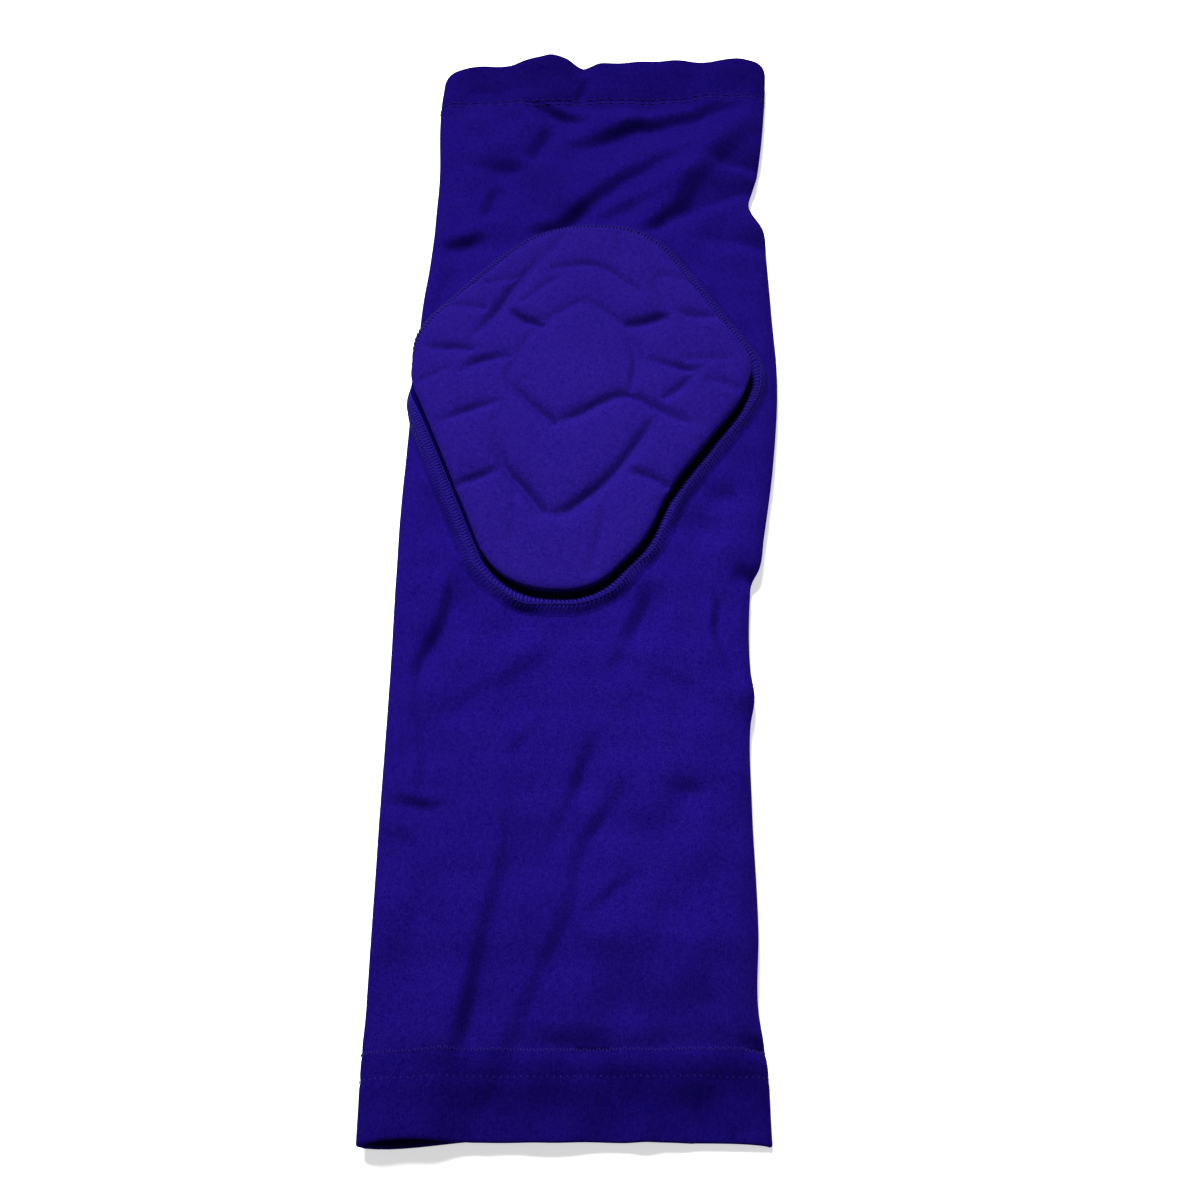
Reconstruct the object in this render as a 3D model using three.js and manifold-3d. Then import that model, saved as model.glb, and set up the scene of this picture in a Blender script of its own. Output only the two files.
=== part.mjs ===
// Padded arm sleeve: a knitted compression tube lying flat, with a foam pad sewn in over the elbow.
// Millimetres, +Z up. It lies on Z = 0 with the wrist mouth toward -Y and the upper-arm mouth toward +Y.
import * as THREE from "three";
import Module from "manifold-3d";

const wasm = await Module();
wasm.setup();

// Cloth thickness, and the clearance between neighbouring pieces
const CLOTH = 1.0;
const HEM_CLOTH = 1.6;
const GAP = 0.3;

// Places along the sleeve, measured from its middle
const WRIST_MOUTH = -179;
const WRIST_STITCH = -156.5;
const BICEP_STITCH = 164.5;
const BICEP_MOUTH = 178.5;

// Cross section of the flattened tube
const EDGE_HEIGHT = 5;
const EDGE_SQUARENESS = 14;
const SHOULDER = 0.86;
const FLAT_UNDERSIDE = 1.03;

// The tube as it lies. along: place on the sleeve; left, right: folded edges; crown: height of the upper
// layer; slant: how far a section leads toward +Y for each millimetre to the right.
const SECTIONS = [
  { along: -179, left: -51.0, right: 52.8, crown: 10.5, slant: 0.032 },
  { along: -160, left: -51.6, right: 51.6, crown: 11.0, slant: 0.036 },
  { along: -145, left: -51.6, right: 49.4, crown: 11.5, slant: 0.036 },
  { along: -125, left: -52.0, right: 49.8, crown: 12.0, slant: 0.03 },
  { along: -90, left: -52.8, right: 48.6, crown: 12.0, slant: 0.02 },
  { along: -55, left: -53.4, right: 48.8, crown: 12.0, slant: 0.01 },
  { along: -22, left: -54.5, right: 49.4, crown: 12.0, slant: 0 },
  { along: -5, left: -54.9, right: 52.8, crown: 12.0, slant: 0 },
  { along: 20, left: -55.4, right: 56.5, crown: 12.0, slant: 0 },
  { along: 50, left: -56.2, right: 58.4, crown: 12.0, slant: 0 },
  { along: 75, left: -55.4, right: 57.2, crown: 12.0, slant: 0 },
  { along: 96, left: -53.0, right: 56.0, crown: 12.0, slant: 0.02 },
  { along: 107, left: -52.6, right: 55.4, crown: 12.0, slant: 0.04 },
  { along: 117, left: -52.6, right: 51.8, crown: 12.0, slant: 0.05 },
  { along: 132, left: -52.6, right: 53.6, crown: 12.0, slant: 0.06 },
  { along: 160, left: -54.3, right: 56.3, crown: 11.2, slant: 0.066 },
  { along: 179, left: -53.9, right: 57.0, crown: 10.4, slant: 0.066 },
];

// Folds of the upper layer, each along a straight line; a negative lift is a valley.
const FOLDS = [
  { fromX: -21, fromY: 182, toX: -20, toY: 160, width: 6, lift: 4.5 },
  { fromX: -7, fromY: 182, toX: -6, toY: 160, width: 5, lift: -1.5 },
  { fromX: 44, fromY: 158, toX: -14, toY: 136, width: 6, lift: -2.5 },
  { fromX: 31, fromY: 147, toX: -18, toY: 115, width: 6, lift: 2 },
  { fromX: 21, fromY: 135, toX: -16, toY: 107, width: 5, lift: -2 },
  { fromX: 37, fromY: 145, toX: 24, toY: 113, width: 5.5, lift: 2.5 },
  { fromX: 52, fromY: 128, toX: 21, toY: 108, width: 5.5, lift: -2.5 },
  { fromX: -40, fromY: 151, toX: -12, toY: 121, width: 6, lift: 2 },
  { fromX: -38, fromY: 133, toX: -24, toY: 130, width: 5, lift: -2 },
  { fromX: -33, fromY: 120, toX: -38, toY: 100, width: 6, lift: -2 },
  { fromX: -38, fromY: -31, toX: -45, toY: -46, width: 5, lift: -2 },
  { fromX: -45, fromY: -46, toX: -40, toY: -88, width: 5, lift: -2 },
  { fromX: -34, fromY: -66, toX: 4, toY: -44, width: 6, lift: -2 },
  { fromX: 6, fromY: -75, toX: -2, toY: -104, width: 5, lift: -2 },
  { fromX: 12, fromY: -89, toX: 3, toY: -112, width: 5, lift: -2 },
  { fromX: 1, fromY: -118, toX: -10, toY: -146, width: 5, lift: -2 },
  { fromX: -18, fromY: -91, toX: -27, toY: -154, width: 6, lift: 2.2 },
  { fromX: 26, fromY: -79, toX: 18, toY: -94, width: 5, lift: 1.5 },
  { fromX: 27, fromY: -121, toX: 44, toY: -146, width: 7, lift: 2 },
];
const FOLD_START = 8;
const FOLD_FULL = 20;

// Elbow pad: corners of its outline in plan with their rounding, its rise above the cloth, and its side
const PAD_CORNERS = [
  { x: 10, y: -29.8, rounding: 17 },
  { x: 52.5, y: 49, rounding: 17 },
  { x: 19.5, y: 98.5, rounding: 16.5 },
  { x: -14.5, y: 98.5, rounding: 16.5 },
  { x: -58, y: 52, rounding: 14 },
  { x: -24, y: -29.8, rounding: 17 },
];
const PAD_CENTRE = new THREE.Vector2(-2, 38);
const PAD_RISE = 8.5;
const OUTLINE_STEPS = 64;

// Side of the pad from its sewn edge inward. out: distance outside the outline; part: share of the rise
const PAD_SIDE = [
  { out: -8, part: 1 },
  { out: -3.2, part: 0.97 },
  { out: -1.4, part: 0.86 },
  { out: -0.5, part: 0.64 },
  { out: 0, part: 0.14 },
  { out: 0.5, part: 0 },
];
const PAD_INNER_RINGS = [0.5];

// Seam round the pad. out: distance outside the pad's outline; height: above the cloth
const SEAM_MIDDLE = 3.9;
const SEAM_LIFT = 0.45;
const SEAM_PROFILE = [
  { out: 0.9, height: SEAM_LIFT },
  { out: 0.9, height: 1.0 },
  { out: 2.6, height: 1.4 },
  { out: 5.2, height: 1.4 },
  { out: 6.9, height: 1.0 },
  { out: 6.9, height: SEAM_LIFT },
  { out: 5.4, height: SEAM_LIFT },
  { out: 3.9, height: SEAM_LIFT },
  { out: 2.4, height: SEAM_LIFT },
];

// Flex grooves moulded into the pad, each through a few points in plan
const GROOVE_CLEARANCE = 0.8;
const GROOVES = [
  { width: 3.2, depth: 1.5, points: [[-15, 61], [-2.5, 69.5], [11, 60.5], [14.5, 47], [12, 35.5]] },
  { width: 3.2, depth: 1.5, points: [[12, 35.5], [-5, 23.5], [-19, 34], [-22.5, 43], [-15, 61]] },
  { width: 3.2, depth: 1.5, points: [[-26.5, 20], [-18, 3], [-7.3, -6], [6, 3.5], [20, 25]] },
  { width: 2.6, depth: 1.2, points: [[-21.5, 70], [-8, 82], [-2, 84], [5, 81], [14, 74]] },
  { width: 2.6, depth: 1.2, points: [[-9.5, 94], [-21, 79], [-26, 69], [-34.5, 56]] },
  { width: 2.6, depth: 1.2, points: [[-31.5, 77.5], [-21, 79]] },
  { width: 2.6, depth: 1.2, points: [[-41, 66.5], [-34, 65.5]] },
  { width: 3.0, depth: 1.4, points: [[-49, 52.5], [-37, 50]] },
  { width: 2.6, depth: 1.2, points: [[-49, 42], [-44, 43.5]] },
  { width: 2.6, depth: 1.2, points: [[-25.5, 63.5], [-15, 61]] },
  { width: 3.0, depth: 1.4, points: [[-36.5, 42.5], [-22.5, 46.5]] },
  { width: 2.6, depth: 1.2, points: [[-41, 25.5], [-19, 34]] },
  { width: 2.6, depth: 1.2, points: [[-34.5, 3.5], [-25.5, 7]] },
  { width: 2.6, depth: 1.2, points: [[8, 92], [9, 86]] },
  { width: 2.6, depth: 1.2, points: [[28.5, 79], [19, 78], [23, 64]] },
  { width: 3.0, depth: 1.4, points: [[11, 60.5], [23, 64], [30.5, 55]] },
  { width: 3.0, depth: 1.4, points: [[29.5, 65.5], [38, 65.5]] },
  { width: 2.6, depth: 1.2, points: [[29.5, 49], [44, 50.5]] },
  { width: 2.6, depth: 1.2, points: [[14.5, 47], [32, 43.5], [23, 34]] },
  { width: 2.6, depth: 1.2, points: [[37.5, 41.5], [43, 40]] },
  { width: 2.6, depth: 1.2, points: [[12, 35.5], [32, 24]] },
  { width: 2.6, depth: 1.2, points: [[12, 7.5], [23, 4.5]] },
  { width: 2.6, depth: 1.2, points: [[-20.5, 8], [-20, -14]] },
  { width: 2.6, depth: 1.2, points: [[7, 4.5], [1.5, -23]] },
];

// How finely the cloth is divided
const UPPER_STEPS = 14;
const LOWER_STEPS = 6;
const TUBE_STRETCHES = [
  { from: WRIST_STITCH + GAP / 2, to: -40, steps: 14 },
  { from: -40, to: 104, steps: 9 },
  { from: 104, to: BICEP_STITCH - GAP / 2, steps: 8 },
];
const HEM_STEPS = 2;
const NORMAL_STEP = 0.5;
const GIRTH_STEPS = 60;
const GIRTH_REACH = 1.25;

// One interpolated row of the section table, with its middle and half width
const columns = ["left", "right", "crown", "slant"];
const sectionCurve = new THREE.CubicInterpolant(
  SECTIONS.map((row) => row.along),
  SECTIONS.flatMap((row) => columns.map((name) => row[name])),
  columns.length,
);

function sectionAt(along) {
  const [left, right, crown, slant] = sectionCurve.evaluate(along);
  return { middle: (left + right) / 2, half: (right - left) / 2, crown, slant };
}

// Pad outline as points in plan, counterclockwise, each with the direction that points out of the pad
function roundedOutline(corners, steps) {
  const path = new THREE.Path();
  corners.forEach((corner, i) => {
    const here = new THREE.Vector2(corner.x, corner.y);
    const before = corners[(i + corners.length - 1) % corners.length];
    const after = corners[(i + 1) % corners.length];
    const toBefore = new THREE.Vector2(before.x, before.y).sub(here).setLength(corner.rounding);
    const toAfter = new THREE.Vector2(after.x, after.y).sub(here).setLength(corner.rounding);
    const start = here.clone().add(toBefore);
    const end = here.clone().add(toAfter);
    if (i === 0) {
      path.moveTo(start.x, start.y);
    } else {
      path.lineTo(start.x, start.y);
    }
    path.quadraticCurveTo(here.x, here.y, end.x, end.y);
  });
  path.closePath();
  const points = path.getSpacedPoints(steps).slice(0, steps);
  return points.map((point, i) => {
    const ahead = points[(i + 1) % steps];
    const behind = points[(i + steps - 1) % steps];
    const out = new THREE.Vector2(ahead.y - behind.y, behind.x - ahead.x).normalize();
    return { point, out };
  });
}

const padOutline = roundedOutline(PAD_CORNERS, OUTLINE_STEPS);

// Distance of a place in plan outside the pad's outline, negative inside it
function distanceFromPad(place) {
  let nearest = padOutline[0].point;
  for (const { point } of padOutline) {
    if (place.distanceToSquared(point) < place.distanceToSquared(nearest)) {
      nearest = point;
    }
  }
  const inside = place.distanceTo(PAD_CENTRE) < nearest.distanceTo(PAD_CENTRE);
  return place.distanceTo(nearest) * (inside ? -1 : 1);
}

// Height that the folds add to the upper layer; they die out before they reach the pad
function foldLift(x, y) {
  const place = new THREE.Vector2(x, y);
  const fade = THREE.MathUtils.smoothstep(distanceFromPad(place), FOLD_START, FOLD_FULL);
  let lift = 0;
  for (const fold of FOLDS) {
    const run = new THREE.Vector2(fold.toX - fold.fromX, fold.toY - fold.fromY);
    const offset = new THREE.Vector2(x - fold.fromX, y - fold.fromY);
    const share = THREE.MathUtils.clamp(offset.dot(run) / run.lengthSq(), 0, 1);
    const away = offset.addScaledVector(run, -share).length();
    lift += fold.lift * Math.exp(-((away / fold.width) ** 2));
  }
  return lift * fade;
}

// Height of the upper layer before it rolls over at the folded edges
function shoulderHeight(section, across) {
  return section.crown * (SHOULDER + (1 - SHOULDER) * (1 - across ** 2));
}

// A point on the outside of the cloth; across runs from -1 at the left folded edge to 1 at the right one
function clothPoint(along, across, upper) {
  const section = sectionAt(along);
  const x = section.middle + across * section.half;
  const y = along + section.slant * x;
  const roll = Math.sqrt(1 - Math.min(1, Math.abs(across) ** EDGE_SQUARENESS));
  if (!upper) {
    return new THREE.Vector3(x, y, EDGE_HEIGHT * (1 - Math.min(1, FLAT_UNDERSIDE * roll)));
  }
  const rise = shoulderHeight(section, across) - EDGE_HEIGHT + foldLift(x, y);
  return new THREE.Vector3(x, y, EDGE_HEIGHT + rise * roll);
}

// The places round the tube, from the right folded edge over the top and back underneath
const around = [];
for (let i = UPPER_STEPS; i >= -UPPER_STEPS; i -= 1) {
  around.push({ across: Math.sin((Math.PI / 2) * (i / UPPER_STEPS)), upper: true });
}
for (let i = 1 - LOWER_STEPS; i <= LOWER_STEPS - 1; i += 1) {
  around.push({ across: Math.sin((Math.PI / 2) * (i / LOWER_STEPS)), upper: false });
}

// One ring of the tube at a place along it, sunk by a depth into the cloth
function clothRing(along, depth) {
  const ringAt = (place) => around.map(({ across, upper }) => clothPoint(place, across, upper));
  const ring = ringAt(along);
  const ahead = ringAt(along + NORMAL_STEP);
  const behind = ringAt(along - NORMAL_STEP);
  return ring.map((point, i) => {
    const next = ring[(i + 1) % ring.length];
    const previous = ring[(i + ring.length - 1) % ring.length];
    const lengthwise = ahead[i].clone().sub(behind[i]);
    const normal = lengthwise.cross(next.clone().sub(previous)).normalize();
    return point.clone().addScaledVector(normal, -depth);
  });
}

// Closed surfaces from rows of points: either a loop of rows, or rows between two end points
function surface(rows, ends) {
  const count = rows[0].length;
  const points = rows.flat();
  const triangles = [];
  const joins = ends ? rows.length - 1 : rows.length;
  for (let r = 0; r < joins; r += 1) {
    const here = r * count;
    const there = ((r + 1) % rows.length) * count;
    for (let c = 0; c < count; c += 1) {
      const d = (c + 1) % count;
      triangles.push(here + c, there + c, there + d, here + c, there + d, here + d);
    }
  }
  if (ends) {
    const first = points.length;
    const lastRow = (rows.length - 1) * count;
    points.push(ends.first, ends.last);
    for (let c = 0; c < count; c += 1) {
      const d = (c + 1) % count;
      triangles.push(first, c, d, first + 1, lastRow + d, lastRow + c);
    }
  }
  const geometry = new THREE.BufferGeometry().setFromPoints(points);
  geometry.setIndex(triangles);
  return geometry;
}

// A length of the tube from a loop of places along it and depths in it
function knitted(profile) {
  return surface(profile.map(({ along, depth }) => clothRing(along, depth)));
}

function evenPlaces(from, to, steps) {
  return Array.from({ length: steps + 1 }, (_, i) => THREE.MathUtils.lerp(from, to, i / steps));
}

// A turned hem from its stitches to the mouth, whose lip is round
function hemProfile(stitch, mouth) {
  const toward = Math.sign(mouth - stitch);
  const round = HEM_CLOTH / 2;
  const outside = evenPlaces(stitch, mouth - toward * round, HEM_STEPS);
  const profile = outside.map((along) => ({ along, depth: 0 }));
  for (const turn of [Math.PI / 4, Math.PI / 2, (3 * Math.PI) / 4]) {
    const along = mouth - toward * round * (1 - Math.sin(turn));
    profile.push({ along, depth: round * (1 - Math.cos(turn)) });
  }
  outside.reverse();
  profile.push(...outside.map((along) => ({ along, depth: HEM_CLOTH })));
  return toward > 0 ? profile : profile.reverse();
}

// The cloth's outside seen as a flat sheet: a place across it, measured over the cloth from the middle of
// the upper layer, becomes a point on the cloth with the direction out of it
function girthPath(along, side) {
  const path = [{ girth: 0, point: clothPoint(along, 0, true) }];
  for (let i = 1; i <= GIRTH_STEPS; i += 1) {
    const reach = (GIRTH_REACH * i) / GIRTH_STEPS;
    const point = clothPoint(along, side * Math.sin((Math.PI / 2) * reach), reach <= 1);
    const previous = path[i - 1];
    path.push({ girth: previous.girth + point.distanceTo(previous.point), point });
  }
  return path;
}

function sheetPoint(girth, along) {
  const path = girthPath(along, Math.sign(girth) || 1);
  const i = Math.max(1, path.findIndex((step) => step.girth >= Math.abs(girth)));
  const share = (Math.abs(girth) - path[i - 1].girth) / (path[i].girth - path[i - 1].girth);
  return path[i - 1].point.clone().lerp(path[i].point, share);
}

function girthOf(x, along) {
  const side = x < sectionAt(along).middle ? -1 : 1;
  const path = girthPath(along, side);
  const i = Math.max(1, path.findIndex((step) => (step.point.x - x) * side >= 0));
  const share = (x - path[i - 1].point.x) / (path[i].point.x - path[i - 1].point.x);
  return side * THREE.MathUtils.lerp(path[i - 1].girth, path[i].girth, share);
}

function onCloth(girth, along, height) {
  const step = NORMAL_STEP;
  const across = sheetPoint(girth + step, along).sub(sheetPoint(girth - step, along));
  const lengthwise = sheetPoint(girth, along + step).sub(sheetPoint(girth, along - step));
  const normal = across.cross(lengthwise).normalize();
  return sheetPoint(girth, along).addScaledVector(normal, height);
}

// Points round the pad at a distance outside its outline, and rings inside it drawn toward its centre
function padPlaces(out, scale = 1) {
  return padOutline.map(({ point, out: direction }) => {
    const inset = point.clone().addScaledVector(direction, Math.min(out, 0));
    const place = PAD_CENTRE.clone().lerp(inset, scale);
    const beyond = direction.clone().multiplyScalar(Math.max(out, 0));
    return { place, beyond };
  });
}

function ringOnCloth(out, height, scale) {
  return padPlaces(out, scale).map(({ place, beyond }) => {
    return onCloth(girthOf(place.x, place.y) + beyond.x, place.y + beyond.y, height);
  });
}

function padTop(x, y) {
  const section = sectionAt(y);
  return shoulderHeight(section, (x - section.middle) / section.half) + PAD_RISE;
}

function ringOnPad(out, part, scale) {
  const foot = ringOnCloth(out, 0, scale);
  return foot.map((point) => {
    return new THREE.Vector3(point.x, point.y, THREE.MathUtils.lerp(point.z, padTop(point.x, point.y), part));
  });
}

// Rings on the cloth under the pad, from its centre out to a distance outside its outline
function ringsUnderPad(edge, height) {
  const innermost = PAD_SIDE[0].out;
  const rings = PAD_INNER_RINGS.map((scale) => ringOnCloth(innermost, height, scale));
  for (const out of [innermost, innermost / 2, 0, edge / 2, edge]) {
    rings.push(ringOnCloth(out, height));
  }
  return rings;
}

function centreOnCloth(height) {
  return onCloth(girthOf(PAD_CENTRE.x, PAD_CENTRE.y), PAD_CENTRE.y, height);
}

function solid(geometry) {
  return new wasm.Manifold(new wasm.Mesh({
    numProp: 3,
    vertProperties: new Float32Array(geometry.getAttribute("position").array),
    triVerts: new Uint32Array(geometry.index.array),
  }));
}

function geometryOf(body) {
  const { vertProperties, triVerts } = body.getMesh();
  const geometry = new THREE.BufferGeometry();
  geometry.setAttribute("position", new THREE.BufferAttribute(vertProperties, 3));
  geometry.setIndex(new THREE.BufferAttribute(triVerts, 1));
  return geometry;
}

function sleeveTube() {
  const places = TUBE_STRETCHES.flatMap(({ from, to, steps }) => evenPlaces(from, to, steps).slice(0, -1));
  places.push(TUBE_STRETCHES.at(-1).to);
  const outside = places.map((along) => ({ along, depth: 0 }));
  const inside = places.reverse().map((along) => ({ along, depth: CLOTH }));
  const tube = solid(knitted([...outside, ...inside]));
  const reach = 2.5 * CLOTH;
  const edge = SEAM_MIDDLE + GAP / 2;
  const above = ringsUnderPad(edge, reach);
  const rim = ringOnCloth(edge, -CLOTH / 2);
  const below = ringsUnderPad(edge, -reach).reverse();
  const ends = { first: centreOnCloth(reach), last: centreOnCloth(-reach) };
  return geometryOf(tube.subtract(solid(surface([...above, rim, ...below], ends))));
}

// A groove's cutter: a keel under each stretch, with an open rim above the pad
function grooveCutter(from, to, { width, depth }) {
  const start = new THREE.Vector3(from[0], from[1], padTop(...from));
  const end = new THREE.Vector3(to[0], to[1], padTop(...to));
  const ahead = end.clone().sub(start).setLength(width / 2);
  const side = new THREE.Vector3(ahead.y, -ahead.x, 0).multiplyScalar((depth + GROOVE_CLEARANCE) / depth);
  const up = new THREE.Vector3(0, 0, GROOVE_CLEARANCE);
  const down = new THREE.Vector3(0, 0, -depth);
  const corner = (point, along, across) => {
    return point.clone().addScaledVector(ahead, along).addScaledVector(side, across).add(up);
  };
  const points = [
    corner(start, -1, 1), corner(start, -1, -1), start.clone().add(down),
    corner(end, 1, 1), corner(end, 1, -1), end.clone().add(down),
  ];
  const geometry = new THREE.BufferGeometry().setFromPoints(points);
  geometry.setIndex([0, 1, 2, 3, 5, 4, 0, 3, 4, 0, 4, 1, 1, 4, 5, 1, 5, 2, 2, 5, 3, 2, 3, 0]);
  return solid(geometry);
}

function elbowPad() {
  const rows = PAD_INNER_RINGS.map((scale) => ringOnPad(PAD_SIDE[0].out, 1, scale));
  rows.push(...PAD_SIDE.map(({ out, part }) => ringOnPad(out, part)));
  const edge = SEAM_MIDDLE - GAP / 2;
  rows.push(ringOnCloth(edge / 2, 0), ringOnCloth(edge, 0));
  rows.push(...ringsUnderPad(edge, -CLOTH).reverse());
  const top = new THREE.Vector3(PAD_CENTRE.x, PAD_CENTRE.y, padTop(PAD_CENTRE.x, PAD_CENTRE.y));
  let pad = solid(surface(rows, { first: top, last: centreOnCloth(-CLOTH) }));
  for (const groove of GROOVES) {
    for (let i = 1; i < groove.points.length; i += 1) {
      pad = pad.subtract(grooveCutter(groove.points[i - 1], groove.points[i], groove));
    }
  }
  return geometryOf(pad);
}

function padSeam() {
  return surface(SEAM_PROFILE.map(({ out, height }) => ringOnCloth(out, height)));
}

function piece(name, geometry, color, roughness) {
  geometry.computeVertexNormals();
  const material = new THREE.MeshStandardMaterial({ color, roughness, metalness: 0 });
  const mesh = new THREE.Mesh(geometry, material);
  mesh.name = name;
  return mesh;
}

const sleeve = new THREE.Group();
sleeve.add(
  piece("sleeve_tube", sleeveTube(), "#1f0e78", 0.75),
  piece("bicep_band", knitted(hemProfile(BICEP_STITCH + GAP / 2, BICEP_MOUTH)), "#1a0b6c", 0.75),
  piece("wrist_hem", knitted(hemProfile(WRIST_STITCH - GAP / 2, WRIST_MOUTH)), "#1a0b6c", 0.75),
  piece("elbow_pad", elbowPad(), "#2d1988", 0.65),
  piece("pad_seam", padSeam(), "#2a1680", 0.7),
);

export default sleeve;
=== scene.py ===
"""Padded arm sleeve lying flat: knitted tube, turned hems, moulded elbow pad and its flat seam.

Lengths are in millimetres until a mesh is made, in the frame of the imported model: the sleeve lies on
Z = 0 with the wrist mouth toward -Y, the upper-arm mouth toward +Y and the pad up.
"""

import math
from collections import namedtuple

import bmesh
import bpy
import numpy as np
from mathutils import Matrix, Vector


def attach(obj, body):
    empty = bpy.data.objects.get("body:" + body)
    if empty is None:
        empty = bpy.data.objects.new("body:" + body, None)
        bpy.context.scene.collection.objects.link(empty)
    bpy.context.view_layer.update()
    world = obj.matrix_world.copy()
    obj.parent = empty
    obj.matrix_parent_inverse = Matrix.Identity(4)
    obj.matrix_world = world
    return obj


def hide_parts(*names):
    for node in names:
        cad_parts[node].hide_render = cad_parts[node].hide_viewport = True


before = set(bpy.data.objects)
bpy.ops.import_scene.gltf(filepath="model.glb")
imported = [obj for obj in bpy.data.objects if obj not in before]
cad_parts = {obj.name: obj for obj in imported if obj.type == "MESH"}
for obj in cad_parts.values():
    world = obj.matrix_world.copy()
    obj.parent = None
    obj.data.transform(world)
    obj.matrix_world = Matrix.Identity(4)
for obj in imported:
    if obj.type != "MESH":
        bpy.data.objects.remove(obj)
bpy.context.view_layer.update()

MM = 0.001

# Cloth thickness, and places along the sleeve
CLOTH = 1.0
HEM_CLOTH = 1.6
WRIST_MOUTH = -179.0
WRIST_STITCH = -156.5
WRIST_SECOND_ROW = -163.2
BICEP_STITCH = 162.3
BICEP_MOUTH = 178.5
JOINT_GAP = 0.02

# Cross section of the flattened tube
EDGE_HEIGHT = 5.0
EDGE_SQUARENESS = 14
SHOULDER = 0.86
FLAT_UNDERSIDE = 1.03
LEAST_HEIGHT = 3.5

# The tube as it lies: place along it, left and right folded edge, height of the upper layer, slant
SECTIONS = np.array([
    (-179, -51.0, 52.8, 11.4, 0.032),
    (-160, -51.6, 51.6, 11.8, 0.036),
    (-145, -51.6, 49.4, 12.6, 0.036),
    (-125, -52.0, 49.8, 13.0, 0.03),
    (-90, -52.8, 48.6, 12.6, 0.02),
    (-66, -53.2, 48.5, 12.2, 0.012),
    (-57, -53.4, 49.8, 12.0, 0.01),
    (-48, -53.6, 48.7, 12.0, 0.008),
    (-24, -54.4, 49.0, 12.0, 0),
    (-19.5, -54.5, 49.6, 12.0, 0),
    (-15.5, -54.6, 51.7, 12.0, 0),
    (-5, -54.9, 53.3, 12.0, 0),
    (20, -54.9, 56.5, 12.0, 0),
    (50, -54.6, 58.4, 12.0, 0),
    (75, -54.2, 57.2, 12.0, 0),
    (96, -53.0, 56.0, 12.0, 0.02),
    (107, -52.6, 55.4, 12.0, 0.04),
    (117, -52.6, 50.6, 12.0, 0.05),
    (132, -52.6, 53.6, 12.0, 0.06),
    (160, -54.3, 56.3, 11.2, 0.066),
    (179, -53.9, 57.0, 10.4, 0.066),
])

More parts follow.
